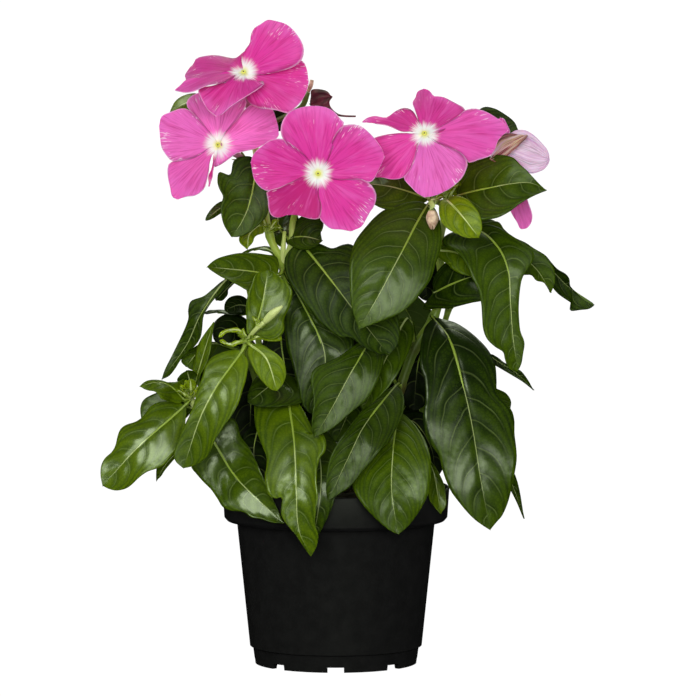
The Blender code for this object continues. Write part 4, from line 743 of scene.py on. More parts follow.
rightStem = {
    # tones start below 0, so the lower stem is darker: partly the reddish woody base, partly painted shade under the
    # leaves
    "node": "leafy_stem_right", "radius": 2.5, "tipRadius": 1.8, "tones": (-0.1, 1.0),
    "joints": {
        "foot": (14, 4, 46), "collar": (16, 3, 84), "low": (23, -2, 108), "middle": (29.5, -2, 127),
        "upper": (36.5, -1, 146), "bend": (45, 0, 160), "high": (49, 1, 175), "neck": (47.5, 2, 194),
        "crown": (51.3, 0, 211), "top": (50.5, 0, 219),
    },
    "tufts": [((49.5, -5, 217.5), 8, 9), ((44, -7, 214), 6, 7)],
    "branches": [
        branch(["top", (49, -4, 223.5)], 1.5, 1.5),
        branch(["top", (54.5, 6, 221.5), (58.5, 4.5, 223.6)], 1.1, 1.4),
        branch(["crown", (47, -14, 213.5), (44.4, -28.5, 213.2), (44.2, -30, 209.5)], 0.9, 1.8, tones=(0.6, 0.9)),
    ],
    "leaves": [
        leaf(["low", (28, -13, 117), (26.5, -40, 100), (25.8, -54.5, 79.5), fromPhoto(398.5, 536, -56.5)],
            leftEdge=[(405, 416), (412, 422.5), (419, 431), (425, 441), (429, 453), (431, 467), (430.5, 482),
                (428.5, 495), (423, 507), (416, 517.5), (408, 528)],
            rightEdge=[(393, 424), (386, 438), (378, 450), (368, 461), (358, 473), (352.5, 484), (355, 494),
                (362, 505.5), (371, 515.5), (381, 525), (390, 532)],
            face=(0, -0.75, 0.65), tipFace=(0, -1, 0.1), cup=0.05, tone=0.48, fade=-0.12, gloss=0.45),
        leaf(["low", (34, -8, 104), (44, -24, 92), fromPhoto(441, 515, -37)],
            leftEdge=[(432, 466), (438, 474), (443, 485), (445.5, 497), (446, 507)],
            rightEdge=[(426, 462), (428, 478), (428, 492), (429, 500), (434, 508)],
            face=(0.1, -0.9, 0.4), tone=0.6, gloss=1.0),
        leaf(["middle", (28, -14, 129), (14, -43, 111.5), (6.6, -54, 97), fromPhoto(328, 502, -61.5)],
            leftEdge=[(402, 392), (404, 408), (398, 426), (388, 444), (374, 460), (362, 474), (350, 488), (338, 496)],
            rightEdge=[(378, 398), (362, 412), (348, 430), (337, 445), (330, 460), (327, 475), (326, 490)],
            face=(-0.1, -0.85, 0.5), tipFace=(0, -1, 0.2), tone=0.36, gloss=0.3),
        leaf(["middle", (22, -10, 136), (10, -24, 124), (0, -33, 103)], both=oval(22), face=(-0.1, -0.9, 0.4),
            tone=0.35),
        leaf(["upper", (21, -12, 154), (9.5, -32, 139), (-2.5, -43, 117), (-10, -47, 104.5)],
            leftEdge=[(385, 346), (384, 362), (380, 376), (374, 390), (366, 402), (356, 410), (345, 419), (333, 429)],
            rightEdge=[(366, 338), (352, 349), (340, 357), (328, 363), (316, 369), (311, 377), (311, 387), (313, 397),
                (313.5, 407), (312, 420), (312, 430)],
            face=(-0.15, -0.85, 0.5), tipFace=(0, -1, 0.2), tone=0.4, gloss=0.2),
        leaf(["upper", (33.3, -9, 160), (23.5, -26, 142), (12.5, -35, 117)],
            leftEdge=[(414, 330), (411, 346), (404, 363), (398, 375), (389, 388), (379, 398), (370, 406)],
            rightEdge=[(398, 322), (388, 338), (378, 354), (370, 372), (362, 390), (359, 403)],
            face=(-0.1, -0.9, 0.4), tone=0.42, gloss=0.6),
        leaf(["bend", (45, -6, 160), (52.5, -24, 150.5), (59.2, -40, 127.4), (63.3, -48, 108.5), (67, -54, 85.4),
                (71.4, -54, 61.5)],
            leftEdge=[(441, 319), (453, 321), (464, 326.5), (475, 334), (484.5, 342.5), (491.5, 352), (496, 364),
                (497, 380), (497, 391), (501, 398), (507, 404), (512.5, 411), (515, 421), (515, 434), (516.5, 448),
                (517, 460), (515, 474), (513, 484), (511, 495), (508, 506), (503, 517), (497, 524)],
            rightEdge=[(425, 328), (421, 342), (420, 355), (421, 368), (424, 375), (426, 388), (426, 400), (424, 412),
                (425, 425), (428, 437), (434, 447), (440, 457), (443, 470), (447, 482), (452, 493), (459, 503),
                (467, 513), (475, 521), (483, 527)],
            face=(0.15, -0.75, 0.65), tipFace=(0.15, -0.97, 0.15), cup=-0.06, wave=1, tone=0.44, fade=0.32,
            gloss=1.1),
        leaf(["bend", (56, -3, 155), fromPhoto(495, 360, -10), fromPhoto(515, 372.5, -14),
                fromPhoto(534, 390.5, -16)],
            leftEdge=[(486, 352), (492, 355), (498, 359), (505, 365), (515, 370), (521, 373), (528, 381)],
            rightEdge=[(480, 356), (489, 362), (497, 366), (505, 371), (512, 375.5), (522, 382), (531, 388.5)],
            face=(0.2, -0.6, 0.8), tone=0.3, gloss=0.1),
        leaf(["high", (45, -5, 171.5), (54, -10, 176), (66, -13, 180), (76, -14, 181)], left=oval(23),
            rightEdge=[(424, 309), (438, 309), (449, 309), (459, 306.5), (471, 303.5), (484, 300.5), (492, 290)],
            face=(0, -0.95, 0.3), tone=0.3, gloss=0.1),
        leaf(["neck", (47, -8, 191.5), (57, -12, 189.5), (67, -16, 180)], both=oval(16), face=(0, -0.9, 0.4),
            tone=0.62),
        leaf(["neck", (64, -7, 200.5), (74, -18, 194), (79.5, -29, 182), (80.6, -36, 167), (81.8, -40, 151),
                fromPhoto(518, 372, -41)],
            leftEdge=[(486, 226), (498, 228), (509, 235), (520, 243), (530, 250), (534, 257), (531, 265), (525, 273),
                (521, 281), (519, 293), (518, 307), (518.5, 320), (520, 332), (524, 343), (523, 354), (521.5, 364)],
            rightEdge=[(466, 232), (454, 236), (445, 242), (443, 249), (452, 252), (460, 258), (467, 268), (472, 280),
                (478, 291), (481, 304), (482, 318), (483, 330), (487, 340), (495, 347.5), (503, 352.5), (505, 360),
                (509, 369)],
            face=(-0.1, -0.65, 0.75), tipFace=(0.1, -0.98, 0.2), cup=0.12, tone=0.5, fade=0.15, gloss=0.3),
        leaf(["neck", (63, -1, 202), (80, -7, 193), (92, -12, 183), fromPhoto(551, 293, -16)],
            leftEdge=[(485, 223), (498, 222.5), (506, 233), (519, 241), (532, 249), (543, 257), (551, 265),
                (554.4, 275), (554, 285)],
            rightEdge=[(478, 240), (492, 255), (508, 270), (522, 275), (531, 275.5), (536, 281), (543, 282.5),
                (548, 286.5)],
            face=(0, -0.7, 0.7), tipFace=(0.2, -0.9, 0.3), tone=0.46, gloss=0.12),
        leaf(["crown", (64, 6, 204), (84, 9, 194.5), (97, 9, 184.5), (107, 5, 174.5), fromPhoto(594, 305.5, 2)],
            leftEdge=[(490, 223), (500, 228), (508, 234), (516, 239), (525, 243.5), (533, 249), (544, 256),
                (550, 263), (557, 270.5), (565, 275), (569, 280), (569.5, 287), (577, 295), (586, 302)],
            rightEdge=[(500, 240), (530, 262), (546, 278), (553, 288.5), (559, 295), (567, 300.5), (572, 304),
                (571, 311), (581, 310), (589, 309)],
            face=(0, -0.3, 0.95), tipFace=(-0.4, -0.9, 0.1), cup=0.25, tone=0.3, gloss=0.15),
        leaf(["crown", (42.5, -11, 212.3), (29.5, -36, 189), (20, -47, 171), fromPhoto(359, 329.5, -52)],
            leftEdge=[(433, 207), (438, 216), (441, 229), (441.3, 240), (440.5, 250), (436, 264), (430, 282),
                (422, 293), (413.5, 303.5), (400, 314.5), (387, 320), (372, 325)],
            rightEdge=[(418, 203), (405, 204.5), (394, 208), (384, 212), (375, 219), (366, 228.5), (358, 238),
                (353.3, 246.5), (350.5, 258), (349.5, 269), (350, 286), (351, 303), (354, 316)],
            face=(-0.15, -0.8, 0.55), tipFace=(-0.1, -0.97, 0.25), cup=0.06, wave=0.5, tone=0.46, gloss=0.27),
        leaf(["crown", (56, -9, 216.5), (72, -18, 220.6), (88, -21, 222.6), fromPhoto(546, 190.5, -22)],
            leftEdge=[(457, 181), (463, 172), (468, 165), (477, 162), (486, 160), (496, 158), (506, 159),
                (514, 161.5), (519, 166), (526, 172), (532, 178), (539, 184.5)],
            rightEdge=[(460, 201), (468, 208), (475, 216), (481, 222), (490, 221), (498, 219.5), (505, 216),
                (512, 211), (518, 206), (527, 201), (536, 195.5)],
            face=(0.1, -0.75, 0.65), tone=0.46, gloss=0.22),
        leaf(["crown", (51, -18, 214.5), (57.5, -27, 208), fromPhoto(478.5, 237.8, -33)],
            leftEdge=[(455, 196), (463, 198), (470, 203), (475, 209), (479, 216), (481, 223), (481.5, 230)],
            rightEdge=[(440.5, 202), (439, 210), (440, 219), (444, 226), (450, 231), (458, 235), (467, 238.7)],
            face=(0.1, -0.9, 0.4), tone=0.79, gloss=0.12),
        leaf(["crown", (43, -4, 215), (26, -7, 220.6), (8, -5, 222.5)],
            leftEdge=[(424, 203), (412, 208), (400, 211), (388, 211.5), (376, 208), (365, 198)],
            right=(5, 8, 9, 8, 4), face=(0, -0.8, 0.6), tone=0.5, gloss=0.15),
        leaf(["top", (54, 7, 222), (66, 16, 236), fromPhoto(518, 131.5, 17)],
            leftEdge=[(462, 140), (470, 122), (482, 110), (494, 110.5), (506, 116.5), (514, 123)],
            rightEdge=[(470, 165), (482, 158), (497, 150), (508, 142), (514, 136)],
            face=(0, -0.9, 0.4), tone=0.3, gloss=0.1),
        leaf(["crown", (53, -4, 217), fromPhoto(459, 183, -6)], both=oval(7), face=(0, -0.9, 0.3), tone=0.78),
        # these three leaves are near-black: painted shade deep inside the bush
        leaf(["upper", (32, 6, 150), (27, 13, 149), (17, 18, 138), (13, 19, 120)], both=oval(30), face=(0, -0.4, 0.9),
            tipFace=(0, -1, 0.1), tone=0.08),
        leaf(["low", (12, -3, 110), (1, -5, 103), (-5, -6, 97)], both=oval(14), face=(0, -0.95, 0.3), tone=0.05),
        leaf(["low", (27, 3, 110), (36, 3, 112), (44, 1, 100), (46, -1, 86)], both=oval(15), face=(0, -0.8, 0.6),
            tipFace=front, tone=0.08),
        leaf(["neck", (45, 8, 197), (34, 20, 199), (22, 27, 190), (16, 29, 176)], both=oval(23), face=(0, 0.3, 1),
            tipFace=(-0.5, 0.6, 0.6), tone=0.3),
        # near-black tone: painted shade deep inside the bush
        leaf(["neck", (43, 8, 193), (41, 9, 184), (42, 8, 168)], both=oval(15), face=(0, -0.95, 0.3), tone=0.06),
    ],
}
middleShoot = {
    "node": "leafy_shoot_middle_left", "radius": 1.9, "tipRadius": 1.3,
    "joints": {
        "foot": (-20, -8, 46), "collar": (-22, -8, 84), "low": (-32, -11, 115), "upper": (-39, -18, 138),
        "tip": (-41, -31, 149.5),
    },
    "tufts": [("tip", 9, 8), ((-35, -38, 156), 5, 6)],
    "branches": [
        # pale bud on its stalk
        branch(["tip", (-37.5, -37, 154), (-33, -40, 158)], 0.9, 1.1, tones=(0.9, 0.95)),
        branch([(-33, -40, 158), (-29, -41.5, 162), (-24.5, -42, 165.5)], 1.3, 0.5, bulge=0.9, tones=(0.92, 1.0)),
    ],
    "leaves": [
        leaf(["tip", (-43.5, -35, 144.5), (-54.5, -45, 129.5), (-63, -50, 113), fromPhoto(183, 469.5, -52)],
            leftEdge=[(248, 362), (247, 372), (245, 382), (242, 392), (239.5, 402), (236, 410), (231, 418),
                (224.5, 427), (218.5, 436), (214, 444), (211, 452), (206, 459), (199, 464), (191, 467.7)],
            rightEdge=[(236, 351), (224, 353.5), (213, 358.5), (206, 367), (202, 378), (197, 390), (194, 402),
                (190, 414), (185, 425), (180, 437), (176, 447), (174, 456), (176, 463)],
            face=(-0.35, -0.7, 0.6), tipFace=(-0.2, -0.95, 0.25), cup=0.05, tone=0.56, fade=-0.16, gloss=0.9),
        leaf(["tip", (-39.5, -36, 147.5), (-32, -43, 141), fromPhoto(277, 391.5, -47)],
            leftEdge=[(256, 344.3), (264, 346), (271, 350.5), (278, 356), (283, 362), (285.5, 370), (285.3, 378),
                (282, 386)],
            rightEdge=[(248, 352), (250, 361), (254, 370), (259, 378), (265, 385), (271, 390)],
            face=(-0.1, -0.85, 0.5), tone=0.74, gloss=0.08),
        leaf(["tip", (-38, -33, 153), (-34, -30, 166), fromPhoto(268, 271, -27)],
            leftEdge=[(247, 334), (246.5, 322), (246, 310), (247, 300), (249, 292), (252, 284), (255, 276.5),
                (260, 272)],
            rightEdge=[(262, 338), (275, 340), (283, 333), (284, 320), (290, 306), (292, 294), (288, 285), (281, 279),
                (274, 273.5)],
            face=(0.1, -0.95, 0.2), cup=0.15, wave=1.2, tone=0.6, gloss=0.9),
        leaf(["tip", (-44, -33, 154), (-50, -35, 154.2), (-54, -35, 151)], both=oval(3.4), face=(0, -0.5, 0.8),
            tone=0.95),
        leaf(["tip", (-44.5, -34, 149), (-49, -36, 147.8), (-53.5, -37, 149.5)], both=oval(3.4), face=(0, -0.5, 0.8),
            tone=0.95),
        leaf(["tip", (-37, -34, 151), (-31, -33, 152), (-25, -34, 150)], both=oval(6), face=(0, -0.8, 0.6), tone=0.8),
        # these two leaves are near-black: painted shade deep inside the bush
        leaf(["low", (-35, -16, 111), (-38, -24, 98), (-35, -29, 82)], both=oval(15), face=(-0.1, -0.95, 0.3),
            tone=0.08),
        leaf(["upper", (-44, -16, 140), (-54, -18, 136), (-60, -20, 125)], both=oval(15), face=(-0.3, -0.7, 0.6),
            tone=0.12),
    ],
}
lowShoot = {
    "node": "leafy_shoot_low_left", "radius": 1.8, "tipRadius": 1.5, "tones": (0.3, 1.0),
    "joints": {
        "foot": (-30, -2, 46), "collar": (-32, -3, 84), "low": (-46, -11, 103), "middle": (-60, -17, 112),
        "tip": (-67.5, -21, 123),
    },
    "tufts": [((-67, -23.5, 123.5), 12, 8)],
    "branches": [
        branch(["tip", (-69, -22, 127.5)], 1.1, 0.7),
    ],
    "leaves": [
        leaf(["tip", (-70, -24, 119.3), (-90.5, -35, 101.3), fromPhoto(102, 487, -37)],
            leftEdge=[(186, 410), (184, 425), (181, 438), (177, 448), (170, 456), (163, 464), (156, 468.5),
                (148, 472.5), (140, 478.5), (132, 485), (124, 489.7), (115, 491.5), (108, 490)],
            rightEdge=[(178, 403), (168, 401.5), (158, 403), (149, 407), (142, 414), (134, 418.5), (125, 422),
                (119, 427.5), (116, 435), (113.5, 445), (110, 452), (104, 459), (101, 468), (100.5, 478)],
            face=(-0.3, -0.72, 0.62), tipFace=(-0.25, -0.86, 0.45), cup=-0.08, wave=1.6, tone=0.6, gloss=1.1),
        leaf(["middle", (-67, -16, 104), fromPhoto(167, 463, -14), fromPhoto(155.8, 482, -13)],
            leftEdge=[(184, 446), (178, 454), (174, 460), (168, 468), (162, 475)],
            rightEdge=[(176, 440), (166, 450), (159, 460), (157, 468), (156.5, 476)],
            face=(-0.5, -0.6, 0.5), tone=0.55, gloss=0.1),
        leaf(["tip", fromPhoto(184, 400, -23), fromPhoto(172, 387, -25), fromPhoto(158, 382.5, -28),
                fromPhoto(139.5, 387, -30)],
            leftEdge=[(180, 403.5), (172, 401.5), (164, 397), (156, 392), (147, 390)],
            rightEdge=[(192, 375), (184, 379), (176, 382), (168, 381), (160, 379.5), (150, 380.5), (144, 383)],
            face=(0, -0.6, 0.8), cup=-0.15, tone=0.62, gloss=0.1),
        leaf(["middle", (-66, -15, 118), (-78, -15, 119), (-89.5, -16, 113.5)], left=(5, 10, 12, 10, 6),
            right=(3, 7, 8, 8, 5), face=(-0.2, -0.85, 0.5), tone=0.5),
        leaf(["middle", (-60.4, -20, 109), (-55.5, -25, 101), (-48, -33, 88.5), (-39.6, -42, 79),
                fromPhoto(283.5, 524.5, -51)],
            leftEdge=[(216, 434), (224, 423), (232, 419.5), (237.5, 426), (241, 438), (249, 449), (255, 460),
                (260, 471), (265, 483), (270, 495), (276, 508)],
            rightEdge=[(206, 450), (196, 460), (191, 468), (196, 475), (203, 483), (211, 491), (217, 500), (222, 508),
                (231, 511.5), (241, 513), (247, 516), (252, 519.5), (262, 521), (271, 524)],
            face=(-0.24, -0.78, 0.58), tipFace=(-0.22, -0.9, 0.34), cup=0.1, wave=2.0, tone=0.48, gloss=1.2),
        leaf(["tip", (-66, -17, 127), (-62, -12, 141), (-56.5, -10, 158)], both=lance(12), face=(-0.85, -0.45, 0.2),
            tone=0.62),
        leaf(["tip", (-67, -24.5, 126.5), (-67.2, -25.5, 131.5)], both=oval(5), face=(0, -0.9, 0.3), tone=0.86),
        leaf(["tip", fromPhoto(190, 385, -15), fromPhoto(187, 371.5, -16)], left=oval(11), right=oval(8),
            face=(0, -0.9, 0.3), tone=0.42, gloss=0.1),
    ],
}
backLeftStem = {
    "node": "leafy_stem_back_left", "radius": 2.1, "tipRadius": 1.3,
    "joints": {
        "foot": (-18, 18, 46), "collar": (-20, 19, 84), "low": (-28, 18, 112), "middle": (-34, 14, 140),
        "upper": (-38, 9, 163), "tip": (-41, 7, 178),
    },
    "leaves": [
        leaf(["tip", (-50, 3, 178), fromPhoto(201, 314, -1), fromPhoto(186, 346, -3), fromPhoto(161.5, 380, -4)],
            leftEdge=[(229, 285), (222, 292), (214, 299), (207, 308.6), (203, 317), (202.3, 330), (201, 338),
                (196, 346), (188, 353), (181, 360), (175, 369), (169, 376)],
            rightEdge=[(222, 282), (214, 289), (204, 297), (192, 302), (188.5, 311), (188, 320), (181, 338),
                (173, 355), (165, 371)],
            face=(-0.5, -0.75, 0.4), wave=0.5, tone=0.36, gloss=0.5),
        leaf(["tip", fromPhoto(236, 281, 6), fromPhoto(227, 289, 5), fromPhoto(216, 301, 4)],
            leftEdge=[(233, 285), (228.5, 290), (227, 296), (222, 301)],
            rightEdge=[(228, 282), (222, 287), (216, 294)],
            face=(0, -0.9, 0.4), tone=0.25, gloss=0.1),
        leaf(["upper", (-45, 5, 162), (-53, 4, 163), (-60.5, 3, 162.2)], both=lance(7), face=(0, -0.25, 1), tone=0.2),
        # these two leaves are near-black: painted shade deep inside the bush
        leaf(["upper", (-40, 2, 165), (-45, -3, 166), (-51, -6, 163.5)], both=oval(10), face=(0, -0.9, 0.4),
            tone=0.08),
        leaf(["middle", (-40, 6, 150), (-47, -1, 154), (-56, -5, 150)], both=oval(18), face=(0, -0.9, 0.45),
            tone=0.06),
        leaf(["middle", (-54, 4, 148), fromPhoto(200, 351, 1), fromPhoto(186, 367, -1)],
            leftEdge=[(212, 356), (204, 366), (196, 371.5), (190, 370)],
            rightEdge=[(204, 343), (193, 348), (184, 355), (181.5, 362)],
            face=(-0.1, -0.9, 0.4), tone=0.52, gloss=0.1),
        # near-black tone: painted shade deep inside the bush
        leaf(["middle", (-36, 8, 140), (-39, 4, 124), (-40, 2, 98)], both=oval(25), face=(0, -0.95, 0.3), tone=0.04),
        leaf(["low", (-36, 26, 118), (-48, 38, 119), (-57, 46, 110), (-61, 50, 96)], both=spoon(25),
            face=(-0.3, 0.3, 0.9), tipFace=(-0.6, 0.7, 0.3), tone=0.4),
        leaf(["middle", (-40, 24, 148), (-47, 42, 148), (-52, 56, 134), (-52, 62, 116)], both=spoon(25),
            face=(-0.2, 0.3, 0.95), tipFace=(-0.4, 0.9, 0.3), tone=0.45),
        leaf(["upper", (-36, 19, 172), (-33, 36, 176), (-31, 50, 168), (-29, 57, 154)], left=spoon(17),
            right=spoon(25), face=(0, 0.2, 1), tipFace=(0, 0.9, 0.4), tone=0.42),
    ],
}
backStem = {
    "node": "leafy_stem_back", "radius": 2.2, "tipRadius": 1.3,
    "joints": {
        "foot": (0, 24, 46), "collar": (0, 25, 84), "low": (-2, 29, 112), "middle": (1, 30, 140),
        "upper": (6, 28, 165), "tip": (10, 26, 184),
    },
    "leaves": [
        leaf(["low", (-8, 36, 116), (-16, 54, 112), (-20, 68, 96), (-21, 72, 76)], both=spoon(28),
            face=(-0.1, 0.3, 0.95), tipFace=(-0.2, 1, 0.2), tone=0.42),
        leaf(["low", (6, 36, 114), (17, 52, 108), (24, 64, 90), (26, 67, 70)], both=spoon(28), face=(0.1, 0.3, 0.95),
            tipFace=(0.2, 1, 0.2), tone=0.38),
        leaf(["middle", (0, 38, 146), (-3, 56, 148), (-4, 72, 136), (-4, 80, 116)], both=spoon(28), face=(0, 0.2, 1),
            tipFace=(0, 1, 0.3), tone=0.45),
        # near-black tone: painted shade deep inside the bush
        leaf(["middle", (4, 22, 138), (3, 12, 134), (0, 3, 122), (-3, -1, 102)], left=oval(32), right=oval(30),
            face=(0, -0.6, 0.8), tipFace=(0, -1, 0.1), tone=0.05),
        leaf(["upper", (14, 34, 172), (26, 46, 172), (35, 54, 160), (38, 57, 142)], both=spoon(25),
            face=(0.2, 0.2, 0.95), tipFace=(0.5, 0.8, 0.3), tone=0.4),
        leaf(["upper", (-1, 34, 171), (-10, 44, 174), (-16, 54, 167), (-19, 59, 152)], both=spoon(22),
            face=(-0.1, 0.2, 1), tipFace=(-0.4, 0.9, 0.3), tone=0.45),
        leaf(["tip", (14, 34, 190), (19, 46, 192), (22, 55, 183)], both=oval(15), face=(0, 0.3, 1), tone=0.35),
        leaf(["tip", (6, 20, 185), (0, 12, 187), (-5, 7, 183)], both=oval(13), face=(0, -0.5, 0.9), tone=0.3),
    ],
}
backRightStem = {
    "node": "leafy_stem_back_right", "radius": 2.1, "tipRadius": 1.3,
    "joints": {
        "foot": (27, 20, 46), "collar": (29, 21, 84), "low": (37, 24, 106), "middle": (43, 23, 130),
        "upper": (48, 20, 150), "tip": (52, 18, 164),
    },
    "leaves": [
        leaf(["low", (46, 30, 108), (58, 40, 104), (66, 48, 88), (68, 50, 70)], both=spoon(26), face=(0.3, 0.3, 0.9),
            tipFace=(0.5, 0.8, 0.3), tone=0.4),
        leaf(["low", (50, 17, 104), (66, 12, 102), (79, 6, 88), (87.3, 2, 66.9)], both=lance(9),
            face=(0.5, -0.6, 0.6), tipFace=(0.85, -0.5, 0.3), tone=0.35),
        leaf(["middle", (42, 33, 136), (42, 50, 137), (42, 64, 124), (42, 70, 106)], both=spoon(27),
            face=(0, 0.3, 0.95), tipFace=(0.3, 1, 0.3), tone=0.42),
        leaf(["middle", (50, 14, 130), (62, 4, 129), fromPhoto(510, 411, -8)],
            leftEdge=[(478, 380), (488, 387), (498, 391), (506, 395), (511, 402)],
            rightEdge=[(470, 392), (476, 404), (488, 414), (500, 418)],
            face=(0.1, -0.7, 0.7), tipFace=(0.2, -0.95, 0.2), tone=0.45, gloss=0.2),
        # near-black tone: painted shade deep inside the bush
        leaf(["middle", (37, 19, 124), (31, 14, 117), (27, 12, 102)], both=oval(17), face=(0, -0.9, 0.4), tone=0.05),
        leaf(["upper", (54, 28, 147), (60, 42, 147), (63, 54, 136), (63, 60, 118)], both=spoon(22),
            face=(0.3, 0.2, 0.95), tipFace=(0.5, 0.8, 0.3), tone=0.4),
        # near-black tone: painted shade deep inside the bush
        leaf(["upper", (43, 13, 150), (38, 8, 139), (36, 6.5, 117)], both=oval(20), face=(0, -0.95, 0.3), tone=0.02),
        leaf(["tip", (50, 28, 171), (50, 42, 174), (51, 54, 166)], both=oval(21), face=(0, 0.3, 1), tone=0.42),
        leaf(["tip", (59, 14, 171), (68, 12, 176), (77, 9, 172)], both=oval(15), face=(0.1, -0.3, 1), tone=0.35),
    ],
}


petalGrain = {
    "rows": 36, "columns": 18, "thickness": 0.35, "belly": 0.06, "tubeRadii": (1.2, 1.6), "throatSink": 0.9,
    "ring": (1.2, 0.3, 0.2), "pinhole": (0.4, 0.45, 0.5),   # radius, lift and flatness
    "tubeTones": (0.75, 1.0), "tubeBulge": 0.3, "tubeSpan": 8,
    "sepals": 5, "sepalRise": (2.4, 6.0), "sepalSpread": (0.7, 1.9, 3.2), "sepalRadii": (0.9, 0.15),
}


# a petal's tone paints its shade above 0 and its light below 0, for how it faces and what shadows it
def petal(tip, face, leftEdge, rightEdge, over=0.0, tone=0.0, cup=0.10):
    return dict(tip=tip, leftEdge=leftEdge, rightEdge=rightEdge, face=face, tipFace=face, over=over, tone=tone,
                cup=cup, wave=0.5)


def addPetal(bm, spec, centre, seed, belly=0.0):
    spec["seed"] = seed
    tip = seen(fromPhoto(*spec["tip"]))
    middle = centre.lerp(tip, 0.5) + Vector(spec["face"]).normalized() * belly * (tip - centre).length
    addBlade(bm, spec, [centre, middle, tip], petalGrain["rows"], petalGrain["columns"], 0, petalRelief)


def addFlowerTube(bm, route, radii):
    addTube(bm, route, *radii, perSpan=petalGrain["tubeSpan"], bulge=petalGrain["tubeBulge"],
            tones=petalGrain["tubeTones"])


def addSepals(bm, foot, way):                           # the calyx where a tube leaves its stalk
    sideways = way.orthogonal().normalized()
    for number in range(petalGrain["sepals"]):
        out = Matrix.Rotation(2 * pi * number / petalGrain["sepals"], 3, way) @ sideways
        path = [foot + way * rise * mm + out * spread * mm
                for rise, spread in zip((0, *petalGrain["sepalRise"]), petalGrain["sepalSpread"])]
        addTube(bm, path, *petalGrain["sepalRadii"], perSpan=4, sides=6, tones=(0.6, 0.7))


def upright(way):                                       # turns what stands along z to stand along a way
    return way.to_track_quat("Z", "Y").to_matrix().to_4x4()


def addThroat(rings, hole, centre, face):               # a low yellow ring round a pin-hole, a dark dot that paints the shade of the tube's opening
    for bm, (radius, lift, flat) in ((rings, petalGrain["ring"]), (hole, petalGrain["pinhole"])):
        ball = bmesh.ops.create_uvsphere(bm, u_segments=20, v_segments=10, radius=radius * mm)["verts"]
        place = Matrix.Translation(centre + face * lift * mm) @ upright(face) @ Matrix.Diagonal((1, 1, flat, 1))
        bmesh.ops.transform(bm, matrix=place, verts=ball)


def makeBloom(bloom):
    node = bloom["node"]
    shuffle = random.Random(node)
    centre = seen(bloom["centre"])
    corolla, neck, calyx, rings, hole = (freshMesh() for _ in range(5))
    face = Vector()
    for spec in bloom["petals"]:
        face += Vector(spec["face"]).normalized()
        addPetal(corolla, spec, centre, shuffle.random(), petalGrain["belly"])
    face.normalize()
    route = [seen(point) for point in bloom["tube"]][::-1] + [centre - face * petalGrain["throatSink"] * mm]
    addFlowerTube(neck, route, petalGrain["tubeRadii"])
    addSepals(calyx, route[0], (route[1] - route[0]).normalized())
    addThroat(rings, hole, centre, face)
    keep(corolla, node, "_petals", [petalFace], petalGrain["thickness"])
    keep(neck, node, "_tube", [tubePink])
    keep(calyx, node, "_calyx", [stemGreen])
    keep(rings, node, "_throat", [throatYellow])
    keep(hole, node, "_pinhole", [throatDark])
    print("made", node)


# petals are traced on the photo, in its pixels: the tip with its depth, and the edges from the eye to the tip
topLeftBloom = {
    "node": "bloom_top_left", "centre": (-42.4, -22, 273.2), "tube": [(-41.5, -4, 264), (-38.4, 2.8, 249.7)],
    "petals": [
        petal((276, 22, -23), (-0.1, -0.95, 0.3),
            [(243, 68), (242, 59), (246, 50), (250, 44), (251.5, 36), (255, 30), (261, 26), (268, 21)],
            [(256, 76), (268, 75), (281, 72), (294, 68), (302.5, 61), (304.5, 51), (302, 43), (298, 37), (292, 30),
                (285, 25)]),
        petal((308.5, 81, -24), (-0.1, -0.95, 0.25),
            [(257, 71), (268, 69), (280, 66), (290, 63), (298, 61), (304, 64), (307, 72)],
            [(246, 84), (246, 94), (250, 104), (258, 109), (268, 110.5), (278, 112), (288, 115), (294, 110),
                (300, 104), (305, 96), (307.5, 88)], over=0.4, tone=0.25),
        petal((217, 118, -38), (-0.1, -0.7, 0.75),
            [(247, 79), (255, 82), (263, 84), (265, 87), (259, 93), (250, 98), (240, 103), (231, 109), (224, 115)],
            [(236, 79), (226, 83), (214, 88), (201, 92), (200, 96), (204, 104), (209, 112)], over=0.8, tone=0.15),
        petal((176, 92.5, -30), (0.1, -0.4, 0.9),
            [(234, 78), (224, 84), (212, 89), (203, 93), (194, 95), (184, 94.8)],
            [(232, 74), (218, 76), (205, 79), (194, 81.5), (187, 84), (181, 88.5)], over=0.9),
        petal((185.5, 77, -10), (0.1, -0.4, 0.9),
            [(236, 78), (225, 80), (212, 82), (200, 83), (191, 84), (187, 82)],
            [(245, 62), (247, 48), (241, 52), (235, 55), (226, 54), (216, 53.5), (206, 55), (196, 57.5), (193, 63),
                (188.5, 68)], over=0.2, tone=0.3, cup=-0.1),
    ],
}
